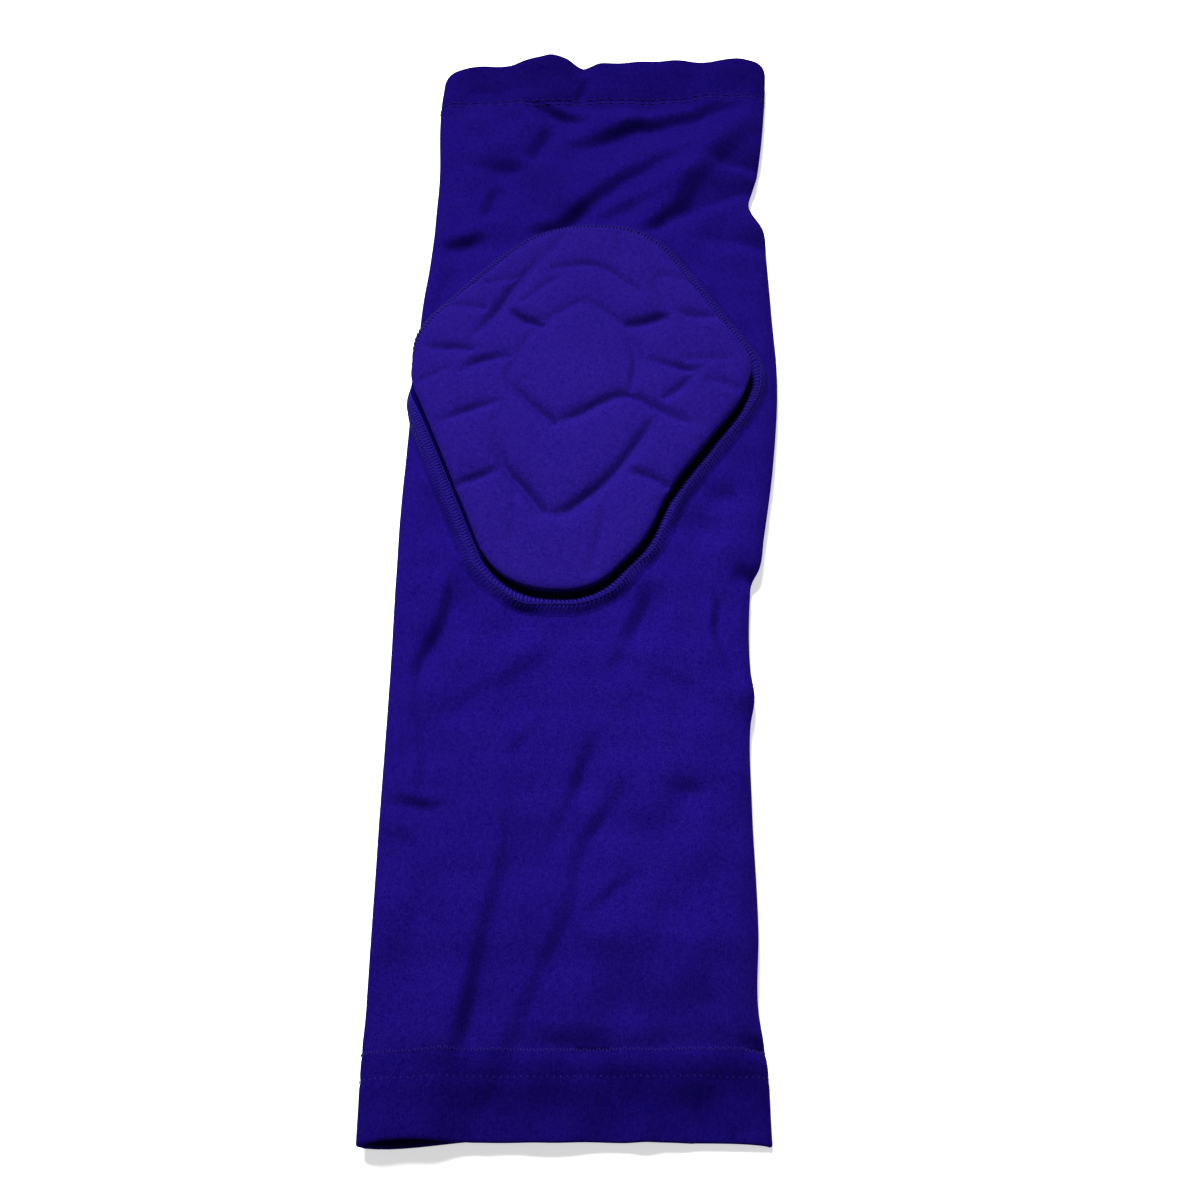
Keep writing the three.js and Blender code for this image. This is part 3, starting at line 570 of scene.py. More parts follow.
def columns_around(upper_count, lower_count):
    """Places round the tube from the right folded edge over the top and back underneath, with their girth."""
    top, top_step = even_places(True, upper_count)
    bottom, bottom_step = even_places(False, lower_count)
    across = np.concatenate([top[::-1], -top[1:], -bottom[-2::-1], bottom[1:-1]])
    upper = np.arange(len(across)) <= 2 * upper_count
    steps = np.where(np.arange(len(across)) < 2 * upper_count, top_step, bottom_step)
    return across, upper, running_length(steps) - upper_count * top_step


ACROSS, UPPER, GIRTH = columns_around(UPPER_COLUMNS, LOWER_COLUMNS)
GIRTH_AROUND = GIRTH[-1] - GIRTH[0]
NORMAL_STEP = 0.4


def around_at(girth):
    """The place across and the layer at a distance round the tube."""
    girth = np.mod(girth - GIRTH[0], GIRTH_AROUND) + GIRTH[0]
    across = np.interp(girth, GIRTH, np.append(ACROSS, ACROSS[0]))
    return across, girth <= GIRTH[2 * UPPER_COLUMNS]


LEAST_LENGTH = 1e-9


def unit(vectors):
    return vectors / np.maximum(np.linalg.norm(vectors, axis=-1, keepdims=True), LEAST_LENGTH)


def tube_rows(along):
    """Rows of points round the tube at places along it, with the directions out of the cloth."""
    along = np.asarray(along, float)[:, None]
    points = cloth(along, ACROSS[None, :], UPPER[None, :])
    ahead = cloth(along + NORMAL_STEP, ACROSS[None, :], UPPER[None, :])
    behind = cloth(along - NORMAL_STEP, ACROSS[None, :], UPPER[None, :])
    around = np.roll(points, -1, axis=1) - np.roll(points, 1, axis=1)
    return points, unit(np.cross(ahead - behind, around))


def stitch_groove(along, girth):
    """Depth of the crease and puckers that the hem stitches pull into the cloth."""
    depth = np.zeros(np.broadcast(along, girth).shape)
    pucker = PUCKER_DEPTH * np.sin(np.pi * girth / HEM_STITCH_PITCH)
    for row, width, deep in STITCH_CREASES:
        away = along - row
        depth += deep * np.exp(-((away / width) ** 2))
        depth += pucker * np.exp(-((away / (PUCKER_WIDTHS * width)) ** 2))
    return depth


# Sheet of cloth round the pad as a table over girth, measured from the middle of the upper layer, and along
SHEET_STEP = 0.5
SHEET_FROM = -48
SHEET_TO = 118
SHEET_REACH = 72
SHEET_ALONG = np.arange(SHEET_FROM, SHEET_TO, SHEET_STEP)
SHEET_GIRTH = np.arange(-SHEET_REACH, SHEET_REACH + SHEET_STEP, SHEET_STEP)
# Steps from the middle of the upper layer, at 0, over the folded edge, at 1, and where they end
REACH_STEPS = 90
REACH_MOST = 1.25


def sheet_table():
    """Points of the sheet and the directions out of it, in rows along the sleeve."""
    reach = np.linspace(0, REACH_MOST, REACH_STEPS + 1)
    rows = []
    sides = []
    for sign in (-1, 1):
        sides.append(cloth(SHEET_ALONG[:, None], sign * np.sin(np.pi / 2 * reach), reach <= 1))
    for left, right in zip(*sides):
        path = np.vstack([left[:0:-1], right])
        to_left, to_right = (running_length(step_lengths(side)) for side in (left, right))
        girth = np.concatenate([-to_left[:0:-1], to_right])
        rows.append(np.stack([np.interp(SHEET_GIRTH, girth, path[:, k]) for k in range(3)], -1))
    points = np.array(rows)
    normals = unit(np.cross(np.gradient(points, axis=1), np.gradient(points, axis=0)))
    return points, normals


SHEET_POINTS, SHEET_NORMALS = sheet_table()
# Taken off the table's length, this keeps a look-up inside its last cell
LAST_CELL = 1.001


def look_up(table, girth, along):
    """Values of a table of the sheet between its rows and columns."""
    column = np.clip((girth - SHEET_GIRTH[0]) / SHEET_STEP, 0, len(SHEET_GIRTH) - LAST_CELL)
    row = np.clip((along - SHEET_ALONG[0]) / SHEET_STEP, 0, len(SHEET_ALONG) - LAST_CELL)
    c, r = column.astype(int), row.astype(int)
    fc, fr = (column - c)[..., None], (row - r)[..., None]
    near = table[r, c] * (1 - fc) + table[r, c + 1] * fc
    far = table[r + 1, c] * (1 - fc) + table[r + 1, c + 1] * fc
    return near * (1 - fr) + far * fr


def on_cloth(girth, along, height):
    """Points at a height over the sheet."""
    normal = unit(look_up(SHEET_NORMALS, girth, along))
    return look_up(SHEET_POINTS, girth, along) + normal * np.asarray(height)[..., None]


def girth_of(x, along):
    """Distance over the cloth, from the middle of the upper layer, of places in plan on the upper layer."""
    x, along = np.broadcast_arrays(x, along)
    result = np.empty(x.shape)
    rows = np.clip(np.rint((along - SHEET_ALONG[0]) / SHEET_STEP).astype(int), 0, len(SHEET_ALONG) - 1)
    flat = result.ravel()
    for i, (place, row) in enumerate(zip(x.ravel(), rows.ravel())):
        line = SHEET_POINTS[row, :, 0]
        first, last = line.argmin(), line.argmax()
        flat[i] = np.interp(place, line[first:last + 1], SHEET_GIRTH[first:last + 1])
    return flat.reshape(x.shape)


SEAM_RUN = np.linspace(0, PERIMETER, SEAM_RUN_STEPS)
# Steps over which the seam's course is evened out, so that it turns gently at the tube's folded edge
COURSE_STEPS = 31


def seam_course():
    """Girth of the pad's outline over the cloth, at the distances round it."""
    girth = girth_of(*np.moveaxis(outline_at(SEAM_RUN)[0], -1, 0))[:-1]
    weights = np.hanning(2 * COURSE_STEPS + 1)
    around = np.concatenate([girth[-COURSE_STEPS:], girth, girth[:COURSE_STEPS]])
    even = np.convolve(around, weights / weights.sum(), "valid")
    return np.append(even, even[0])


SEAM_GIRTH = seam_course()


def round_pad(run, out):
    """Girth and place along of a place round the pad, at a distance outside its outline."""
    spot, direction = outline_at(run)
    girth = np.interp(np.mod(run, PERIMETER), SEAM_RUN, SEAM_GIRTH)
    return girth + direction[..., 0] * out, spot[..., 1] + direction[..., 1] * out


def grid_faces(rows, columns, first=0, closed=True):
    """Quads between rows of points whose columns run round."""
    r, c = np.meshgrid(np.arange(rows - 1), np.arange(columns if closed else columns - 1), indexing="ij")
    here, there = first + r * columns, first + (r + 1) * columns
    ahead = (c + 1) % columns
    return np.stack([here + c, there + c, there + ahead, here + ahead], -1).reshape(-1, 4)


def grid_map(u, v):
    """Map coordinates of grid_faces' corners, from one u more than there are columns and a v for each row."""
    wide = np.broadcast_to(u[None, :], (len(v), len(u)))
    tall = np.broadcast_to(v[:, None], (len(v), len(u)))
    place = np.stack([wide, tall], -1)
    corners = [place[:-1, :-1], place[1:, :-1], place[1:, 1:], place[:-1, 1:]]
    return np.stack(corners, 2).reshape(-1, 4, 2)


CLOTH_MAP = "cloth"
SHARP_ANGLE = math.radians(68)


def make_piece(name, points, faces, places, material):
    """A smooth-shaded mesh object in metres, with its map in millimetres over the cloth."""
    mesh = bpy.data.meshes.new(name)
    mesh.from_pydata((np.asarray(points) * MM).tolist(), [], [list(face) for face in faces])
    layer = mesh.uv_layers.new(name=CLOTH_MAP)
    layer.uv.foreach_set("vector", np.concatenate([np.ravel(p) for p in places]).astype(np.float32))
    shape = bmesh.new()
    shape.from_mesh(mesh)
    bmesh.ops.recalc_face_normals(shape, faces=shape.faces)
    for edge in shape.edges:
        edge.smooth = edge.calc_face_angle(0) < SHARP_ANGLE
    shape.to_mesh(mesh)
    shape.free()
    mesh.polygons.foreach_set("use_smooth", np.ones(len(mesh.polygons), bool))
    mesh.materials.append(material)
    piece = bpy.data.objects.new(name, mesh)
    bpy.context.collection.objects.link(piece)
    return piece


def closed_piece(name, points, u, v, material):
    """A piece of rows of points that run round, the last row closed onto the first; u, v: as in grid_map."""
    rows, columns = len(v), len(u) - 1
    here = np.arange(columns)
    ahead = (here + 1) % columns
    last = (rows - 1) * columns
    closing = np.stack([last + here, here, ahead, last + ahead], -1)
    faces = np.vstack([grid_faces(rows, columns), closing])
    return make_piece(name, points, faces, [grid_map(u, v), np.zeros((columns, 4, 2))], material)


def inside_loop(x, y, loop):
    """Whether places in plan lie inside a closed loop of points."""
    inside = np.zeros(x.shape, bool)
    for (x0, y0), (x1, y1) in zip(loop, np.roll(loop, -1, axis=0)):
        crosses = (y0 > y) != (y1 > y)
        if crosses.any():
            inside ^= crosses & (x < (x1 - x0) * (y - y0) / (y1 - y0) + x0)
    return inside


def sleeve_body(material):
    """One layer of knitted cloth round the arm, with the window that the pad is sewn into."""
    along = np.linspace(WRIST_STITCH + JOINT_GAP / 2, BICEP_STITCH - JOINT_GAP / 2, BODY_ROWS)
    rows, normals = tube_rows(along)
    columns = len(ACROSS)
    depth = stitch_groove(along[:, None], GIRTH[None, :-1])
    outside = rows - normals * depth[..., None]
    inside = rows - normals * CLOTH

    window_run = np.linspace(0, PERIMETER, WINDOW_STEPS, endpoint=False)
    window = np.stack(round_pad(window_run, SEAM_MIDDLE + SEAM_GAP), -1)
    steps = np.linalg.norm(rows - np.roll(rows, 1, axis=1), axis=2)
    run = np.cumsum(steps, axis=1)
    sheet = run[:, UPPER_COLUMNS][:, None] - run
    place = np.broadcast_to(along[:, None], sheet.shape)
    cut = inside_loop(sheet, place, window)

    faces = grid_faces(BODY_ROWS, columns)
    places = grid_map(-GIRTH, along)
    kept = ~cut.reshape(-1)[faces].any(axis=1)
    faces, places = faces[kept], places[kept]

    edges = dict.fromkeys((a, b) for face in faces.tolist() for a, b in zip(face, face[1:] + face[:1]))
    rim = [(a, b) for a, b in edges if (b, a) not in edges]
    last = (BODY_ROWS - 1) * columns
    window_edge = sorted(a for a in {a for edge in rim for a in edge} if columns <= a < last)
    outside, inside = outside.reshape(-1, 3), inside.reshape(-1, 3)
    spots = np.stack([sheet.ravel()[window_edge], place.ravel()[window_edge]], -1)
    nearest = window[np.linalg.norm(spots[:, None] - window[None], axis=2).argmin(axis=1)]
    outside[window_edge] = on_cloth(*nearest.T, 0)
    inside[window_edge] = on_cloth(*nearest.T, -CLOTH)

    count = len(outside)
    rim_faces = np.array([(b, a, a + count, b + count) for a, b in rim])
    used = np.unique(faces)
    renumber = np.full(2 * count, -1)
    renumber[np.concatenate([used, used + count])] = np.arange(2 * len(used))
    all_faces = np.vstack([faces, faces[:, ::-1] + count, rim_faces])
    points = np.vstack([outside[used], inside[used]])
    all_places = [places, places[:, ::-1], np.zeros((len(rim_faces), 4, 2))]
    return make_piece("sleeve_body", points, renumber[all_faces], all_places, material)


def hem(name, stitch, mouth, material):
    """A turned hem from its stitches to the mouth, two layers thick, with a round lip."""
    toward = math.copysign(1, mouth - stitch)
    lip = HEM_CLOTH / 2
    flat = np.linspace(stitch + toward * JOINT_GAP / 2, mouth - toward * lip,
                       int(abs(mouth - stitch) / HEM_ROW_STEP))
    turn = np.linspace(0, np.pi, LIP_TURNS + 2)[1:-1]
    along = np.concatenate([flat, mouth - toward * lip * (1 - np.sin(turn)), flat[::-1]])
    depth = np.concatenate([0 * flat, lip * (1 - np.cos(turn)), 0 * flat + HEM_CLOTH])
    rows, normals = tube_rows(along)
    outer = (np.arange(len(along)) < len(flat))[:, None]
    sunk = depth[:, None] + np.where(outer, stitch_groove(along[:, None], GIRTH[None, :-1]), 0)
    points = (rows - normals * sunk[..., None]).reshape(-1, 3)
    travel = running_length(np.hypot(np.diff(along), np.diff(depth)))
    return closed_piece(name, points, -GIRTH, stitch + toward * travel, material)


def groove_depth(x, y):
    """Depth of the flex grooves, with soft shoulders, where crossing grooves don't add up."""
    narrow = np.zeros_like(x)
    wide = np.zeros_like(x)
    for groove in GROOVES:
        spread = SHOULDER_WIDTH * groove.width
        path, near = near_path(x, y, groove.path, GROOVE_REACH * spread)
        if len(near):
            away, _, values = nearest_on_path(x[near], y[near], path)
            for depth, width in ((narrow, groove.width), (wide, spread)):
                depth[near] = np.maximum(depth[near], values[:, 2] * np.exp(-((away / width) ** 2)))
    return GROOVE_GAIN * ((1 - SHOULDER_SHARE) * narrow + SHOULDER_SHARE * wide)


def pad_top(x, y):
    """Height of the pad's crowned top, without its grooves."""
    left, right, crown, _ = section_at(y)
    across = (x - (left + right) / 2) / ((right - left) / 2)
    droop = PAD_DROOP * smoothstep(x, *DROOP_RANGE)
    away = np.hypot(x - PAD_CENTRE[0], y - PAD_CENTRE[1]) / PAD_REACH
    dome = PAD_DOME * np.clip(1 - away**2, 0, 1)
    return shoulder_height(crown, np.clip(across, -1, 1)) + PAD_RISE + dome - droop


def grooved_top(place):
    return pad_top(*place.T) - groove_depth(*place.T)


def elbow_pad(material):
    """The moulded pad: a crowned top with flex grooves, a steep side and a thin edge under the seam."""
    run = np.linspace(0, PERIMETER, PAD_COLUMNS, endpoint=False)
    spot, direction = outline_at(run)
    rings = []
    inset = spot - direction * PAD_INSET
    for scale in np.linspace(0, 1, PAD_INNER_RINGS + 1)[1:]:
        place = PAD_CENTRE + (inset - PAD_CENTRE) * scale
        rings.append(np.column_stack([place, grooved_top(place)]))
    for out, part in smooth_path(PAD_SIDE, PAD_SIDE_STEPS)[1:]:
        place = spot + direction * out
        foot = on_cloth(girth_of(*place.T), place[:, 1], 0)
        foot[:, 2] += part * (grooved_top(place) - foot[:, 2])
        rings.append(foot)
    edge = SEAM_MIDDLE - SEAM_GAP
    for out in (*PAD_EDGE_ABOVE, edge):
        rings.append(on_cloth(*round_pad(run, out), 0))
    for out in (edge, *PAD_EDGE_BELOW):
        rings.append(on_cloth(*round_pad(run, out), -CLOTH))
    for scale in PAD_UNDERSIDE:
        place = PAD_CENTRE + (spot - PAD_CENTRE) * scale
        rings.append(on_cloth(girth_of(*place.T), place[:, 1], -CLOTH))
    points = np.vstack(rings)
    top = np.array([[*PAD_CENTRE, *grooved_top(PAD_CENTRE[None])]])
    bottom = points[-PAD_COLUMNS:].mean(axis=0, keepdims=True)
    count = len(points)
    faces = grid_faces(len(rings), PAD_COLUMNS)
    column = np.arange(PAD_COLUMNS)
    ahead = (column + 1) % PAD_COLUMNS
    last = count - PAD_COLUMNS
    caps = np.vstack([
        np.stack([np.full(PAD_COLUMNS, count), column, ahead], -1),
        np.stack([np.full(PAD_COLUMNS, count + 1), last + ahead, last + column], -1),
    ])
    points = np.vstack([points, top, bottom])
    places = [points[faces][..., :2], points[caps][..., :2]]
    return make_piece("elbow_pad_cover", points, faces.tolist() + caps.tolist(), places, material)


SEAM_CURVE = smooth_path(SEAM_ROUND, PATH_STEPS)


def seam_height(out):
    """Height of the seam's band over the cloth."""
    return np.interp(out, SEAM_CURVE[:, 0], SEAM_CURVE[:, 1])


def on_seam(run, out, height):
    """Points over the cloth round the pad, and the directions out of it."""
    girth, along = round_pad(run, out)
    up = unit(look_up(SHEET_NORMALS, girth, along))
    share = EDGE_SEAM + (1 - EDGE_SEAM) * smoothstep(up[..., 2], *EDGE_TURN)
    return on_cloth(girth, along, height * share), up


def seam_band(material):
    """The band of cloth edges under the seam's threads."""
    across = np.linspace(SEAM_INNER, SEAM_OUTER, SEAM_ACROSS)
    under = across[::-SEAM_UNDER_EVERY]
    out = np.concatenate([across, under])
    height = np.concatenate([seam_height(across), np.full(len(under), SEAM_LIFT)])
    run = np.linspace(0, PERIMETER, SEAM_COLUMNS, endpoint=False)
    points = np.vstack([on_seam(run, *row)[0] for row in zip(out, height)])
    travel = running_length(np.hypot(np.diff(out), np.diff(height)))
    return closed_piece("seam_band", points, np.append(run, PERIMETER), travel, material)


def threads(name, strokes, radius, material):
    """Short lengths of thread in one mesh.

    strokes: pairs of paths and the directions out of the cloth along them; radius: one, or one a thread.
    """
    paths, ups = (np.concatenate(parts) for parts in zip(*strokes))
    count, steps = paths.shape[:2]
    ahead = unit(np.gradient(paths, axis=1))
    sideways = unit(np.cross(ahead, ups))
    upward = np.cross(sideways, ahead)
    narrowing = np.sqrt(np.maximum(1 - np.linspace(-1, 1, steps) ** THREAD_TAPER, THREAD_END))
    width = np.broadcast_to(radius, count)[:, None] * narrowing
    angle = np.arange(THREAD_SIDES) * 2 * np.pi / THREAD_SIDES
    ring = sideways[:, :, None] * np.cos(angle)[:, None] + upward[:, :, None] * np.sin(angle)[:, None]
    points = (paths[:, :, None] + ring * width[:, :, None, None]).reshape(-1, 3)
    one = grid_faces(steps, THREAD_SIDES)
    size = steps * THREAD_SIDES
    first = np.arange(count) * size
    faces = (one[None] + first[:, None, None]).reshape(-1, 4)
    side = np.arange(THREAD_SIDES)
    caps = np.concatenate([side[None] + first[:, None], (size - 1 - side)[None] + first[:, None]])
    length = step_lengths(paths).sum(axis=1).mean()
    one_map = grid_map(np.linspace(0, 1, THREAD_SIDES + 1), np.linspace(0, length, steps))
    places = [np.tile(one_map, (count, 1, 1)), np.zeros((len(caps), THREAD_SIDES, 2))]
    return make_piece(name, points, faces.tolist() + caps.tolist(), places, material)


def seam_threads(material):
    """Cover threads laid across the seam, and the rows of needle stitches that hold them."""
    count = int(round(PERIMETER / STITCH_PITCH))
    pitch = PERIMETER / count
    start = np.arange(count)[:, None] * pitch
    draw = np.random.default_rng(THREAD_SEED)
    wander = draw.uniform(-COVER_WANDER, COVER_WANDER, count)[:, None]

    first, ridge = NEEDLE_ROWS
    strokes = []
    for inner, outer, slant in ((first, ridge, COVER_SLANT), (ridge, SEAM_OUTER - LOOP_SHORT, -COVER_SLANT)):
        across = np.linspace(inner, outer, COVER_STEPS)[None]
        run = start + wander + slant * (across - ridge)
        strokes.append(on_seam(run, across + 0 * run, seam_height(across) - COVER_SUNK))
    radii = np.repeat((COVER_RADIUS, LOOP_RADIUS), count)
    cover = threads("seam_cover_threads", strokes, radii, material)

    strokes = []
    share = np.linspace(-NEEDLE_REACH, NEEDLE_REACH, STITCH_STEPS)[None]
    for row in NEEDLE_ROWS:
        run = start + COVER_SLANT * (row - ridge) + (0.5 + share) * pitch
        height = seam_height(row) + NEEDLE_RADIUS * (NEEDLE_PROUD + np.cos(np.pi * share))
        strokes.append(on_seam(run, np.full(run.shape, row), height))
    return cover, threads("seam_needle_threads", strokes, NEEDLE_RADIUS, material)


def tube_places(along, girth, height):
    """Points over the cloth at places along and round the tube, with the directions out of it."""
    across, upper = around_at(girth)
    points = cloth(along, across, upper)
    ahead = cloth(along + NORMAL_STEP, across, upper) - points
    across, upper = around_at(girth + NORMAL_STEP)
    around = cloth(along, across, upper) - points
    up = unit(np.cross(ahead, around))
    groove = stitch_groove(along, -girth)
    return points + up * (height - groove)[..., None], up


StitchRow = namedtuple("StitchRow", "along length lean strokes")


def hem_stitches(name, rows, material):
    """Rows of stitches round a hem, flush with the floor underneath.

    strokes: how many stitches, leaning in turn, fill one pitch of a row.
    """
    strokes = []
    share = np.linspace(-0.5, 0.5, STITCH_STEPS)[None]
    for row in rows:
        count = row.strokes * int(round(GIRTH_AROUND / HEM_STITCH_PITCH))
        start = GIRTH[0] + np.arange(count) * GIRTH_AROUND / count
        sign = np.where(np.arange(count) % row.strokes == 0, 1, -1)
        girth = start[:, None] + sign[:, None] * share * row.length * math.cos(row.lean)
        along = row.along + share * row.length * math.sin(row.lean) + 0 * girth
        arch = HEM_STITCH_PROUD + HEM_STITCH_ARCH * np.cos(np.pi * share)
        points, up = tube_places(along, girth, HEM_THREAD_RADIUS * arch + 0 * girth)
        points[..., 2] = np.maximum(points[..., 2], HEM_THREAD_RADIUS)
        strokes.append((points, up))
    return threads(name, strokes, HEM_THREAD_RADIUS, material)


class Nodes:
    """Short calls for building a material's node tree."""

    def __init__(self, name):
        self.material = bpy.data.materials.new(name)
        self.material.use_nodes = True
        self.tree = self.material.node_tree
        self.shader = self.tree.nodes["Principled BSDF"]

    def add(self, kind, inputs, **settings):
        """A node with those settings; inputs: what goes into its sockets, by name."""
        node = self.tree.nodes.new(kind)
        for key, value in settings.items():
            setattr(node, key, value)
        for name, value in inputs.items():
            self.link(value, node.inputs[name])
        return node

    def link(self, value, socket):
        if isinstance(value, bpy.types.NodeSocket):
            self.tree.links.new(value, socket)
        else:
            socket.default_value = value

    def surface(self, inputs):
        """What goes into the shader's own sockets, by name."""
        for name, value in inputs.items():
            self.link(value, self.shader.inputs[name])

    def math(self, operation, *values):
        node = self.add("ShaderNodeMath", {}, operation=operation)
        for value, socket in zip(values, node.inputs):
            self.link(value, socket)
        return node.outputs[0]

    def noise(self, scale, detail=3.0, roughness=0.55):
        """Noise through the object, its scale in repeats to the metre."""
        where = self.add("ShaderNodeTexCoord", {}).outputs["Object"]
        inputs = {"Vector": where, "Scale": scale, "Detail": detail, "Roughness": roughness}
        return self.add("ShaderNodeTexNoise", inputs).outputs["Fac"]

    def blend(self, factor, first, second):
        first, second = ((*part, 1.0) if isinstance(part, tuple) else part for part in (first, second))
        inputs = {"Factor": factor, "A": first, "B": second}
        return self.add("ShaderNodeMix", inputs, data_type="RGBA").outputs["Result"]

    def range(self, inputs, **settings):
        return self.add("ShaderNodeMapRange", inputs, **settings).outputs["Result"]

    def bump(self, height, strength, distance, **normal):
        inputs = {"Height": height, "Strength": strength, "Distance": distance, **normal}
        return self.add("ShaderNodeBump", inputs).outputs["Normal"]

    def cloth_map(self):
        """Place over the cloth in millimetres: round the tube or across the pad, and along it."""
        where = self.add("ShaderNodeUVMap", {}, uv_map=CLOTH_MAP)
        parts = self.add("ShaderNodeSeparateXYZ", {"Vector": where.outputs["UV"]})
        return parts.outputs["X"], parts.outputs["Y"]


# Knitted loops: courses that a loop's legs climb, squareness of the columns, and depth between the courses
LOOP_CLIMB = 0.8
RIB_SQUARENESS = 3.0
COURSE_DEPTH = 0.25
# Noises of the dye and the fibres, in repeats to the metre, and what each adds to the tone from dark to light
PATCH_SCALE = 38.0
PATCH_TONE = 0.15
GRAIN_SCALE = 720.0
GRAIN_TONE = 0.5
FIBRE_SCALE = 1900.0
FIBRE_TONE = 1.3
FINE_DETAIL = 2.0
TONE_START = -0.475
# Painted shade between the knitted loops: brightness of the tone where the loops are lowest, and what their
# height adds
LOOP_DARKEST = 0.72
LOOP_BRIGHTENS = 0.5
# Share of the dark tone that is painted as shade in the crevice beside the pad
CREVICE_SHADE = 0.9
ROUGHNESS_SPREAD = 0.06
# Strength of the fibres' relief, and both reliefs in metres
FIBRE_BUMP = 0.25
FIBRE_RELIEF = 0.0001
LOOP_RELIEF = 0.00022
KNIT_FINISH = {"Specular IOR Level": 0.0, "Sheen Weight": 0.04, "Sheen Roughness": 0.45,
               "Sheen Tint": (0.12, 0.05, 1.0, 1.0)}


def knit_height(nodes, wale, course):
    """Relief of plain knitting: columns of V-shaped loops."""
    u, v = nodes.cloth_map()
    column = nodes.math("FRACT", nodes.math("DIVIDE", u, wale))
    fold = nodes.math("ABSOLUTE", nodes.math("SUBTRACT", nodes.math("MULTIPLY", column, 2.0), 1.0))
    slope = nodes.math("ADD", nodes.math("DIVIDE", v, course), nodes.math("MULTIPLY", fold, LOOP_CLIMB))
    loop = nodes.math("SINE", nodes.math("MULTIPLY", slope, 2 * math.pi))
    rib = nodes.math("SUBTRACT", 1.0, nodes.math("POWER", fold, RIB_SQUARENESS))
    return nodes.math("MULTIPLY", rib, nodes.math("MULTIPLY_ADD", loop, COURSE_DEPTH, 1 - COURSE_DEPTH))


def knit_material(name, dark, light, wale, course, relief, roughness, crevice=None):
    """Fine stretch knit: loops with painted shade between them, uneven dye, stray fibres and a faint coloured
    sheen.

    crevice: where the painted shade along the map's lower edge, in the crevice beside the pad, starts to
    clear and where it ends.
    """
    nodes = Nodes(name)
    height = knit_height(nodes, wale, course)
    patches = nodes.noise(PATCH_SCALE)
    fibres = nodes.noise(FIBRE_SCALE, FINE_DETAIL)
    grain = nodes.noise(GRAIN_SCALE, FINE_DETAIL)
    tone = nodes.math("MULTIPLY_ADD", grain, GRAIN_TONE, TONE_START)
    tone = nodes.math("MULTIPLY_ADD", fibres, FIBRE_TONE, tone)
    tone = nodes.math("MULTIPLY_ADD", patches, PATCH_TONE, tone)
    # painted shade: the tone darkens between the loops, where their relief is low
    tone = nodes.math("MULTIPLY", tone, nodes.math("MULTIPLY_ADD", height, LOOP_BRIGHTENS, LOOP_DARKEST))
    colour = nodes.blend(tone, dark, light)
    # painted shade in the crevice beside the pad, along the seam band's inner edge
    if crevice:
        edge = {"Value": nodes.cloth_map()[1], "From Min": crevice[0], "From Max": crevice[1]}
        clear = nodes.range(edge, interpolation_type="SMOOTHSTEP")
        colour = nodes.blend(clear, tuple(CREVICE_SHADE * part for part in dark), colour)
    spread = {"To Min": roughness - ROUGHNESS_SPREAD, "To Max": roughness + ROUGHNESS_SPREAD}
    fine = nodes.bump(fibres, FIBRE_BUMP, FIBRE_RELIEF)
    nodes.surface({"Base Color": colour, "Roughness": nodes.range({"Value": patches, **spread}),
                   "Normal": nodes.bump(height, relief, LOOP_RELIEF, Normal=fine), **KNIT_FINISH})
    return nodes.material


# Sewing thread: turns of its plies to a millimetre, and its noise, tone, roughness and relief
PLY_TURNS = 2.4
FILAMENT_SCALE = 2600.0
PLY_TONE = 0.6
FILAMENT_TONE = 0.4
THREAD_ROUGHNESS = {"To Min": 0.62, "To Max": 0.78}
PLY_BUMP = 0.5
PLY_RELIEF = 0.00006
THREAD_FINISH = {"Specular IOR Level": 0.06, "Sheen Weight": 0.06, "Sheen Roughness": 0.4,
                 "Sheen Tint": (0.2, 0.1, 1.0, 1.0)}


def thread_material(name, dark, light):
    """Twisted sewing thread with loose filaments."""
    nodes = Nodes(name)
    u, v = nodes.cloth_map()
    turn = nodes.math("MULTIPLY", nodes.math("MULTIPLY_ADD", v, PLY_TURNS, u), 2 * math.pi)
    ply = nodes.math("MULTIPLY_ADD", nodes.math("SINE", turn), 0.5, 0.5)
    fibres = nodes.noise(FILAMENT_SCALE, FINE_DETAIL)
    tone = nodes.math("MULTIPLY_ADD", ply, PLY_TONE, nodes.math("MULTIPLY", fibres, FILAMENT_TONE))
    nodes.surface({"Base Color": nodes.blend(tone, dark, light),
                   "Roughness": nodes.range({"Value": fibres, **THREAD_ROUGHNESS}),
                   "Normal": nodes.bump(ply, PLY_BUMP, PLY_RELIEF), **THREAD_FINISH})
    return nodes.material


# Floor: reach, place under the sleeve, divisions and finish
FLOOR_REACH = 30000.0
FLOOR_BELOW = 0.05
FLOOR_STEPS = 25
PAPER_SCALE = 220.0
PAPER_DARK = (0.86, 0.86, 0.86)
PAPER_LIGHT = (0.9, 0.9, 0.9)
PAPER_BUMP = 0.02
PAPER_RELIEF = 0.0005
PAPER_FINISH = {"Roughness": 0.9, "Specular IOR Level": 0.1, "Emission Color": (1.0, 1.0, 1.0, 1.0),
                "Emission Strength": 0.58}


def floor_material():
    nodes = Nodes("paper")
    grain = nodes.noise(PAPER_SCALE)
    nodes.surface({"Base Color": nodes.blend(grain, PAPER_DARK, PAPER_LIGHT),
                   "Normal": nodes.bump(grain, PAPER_BUMP, PAPER_RELIEF), **PAPER_FINISH})
    return nodes.material


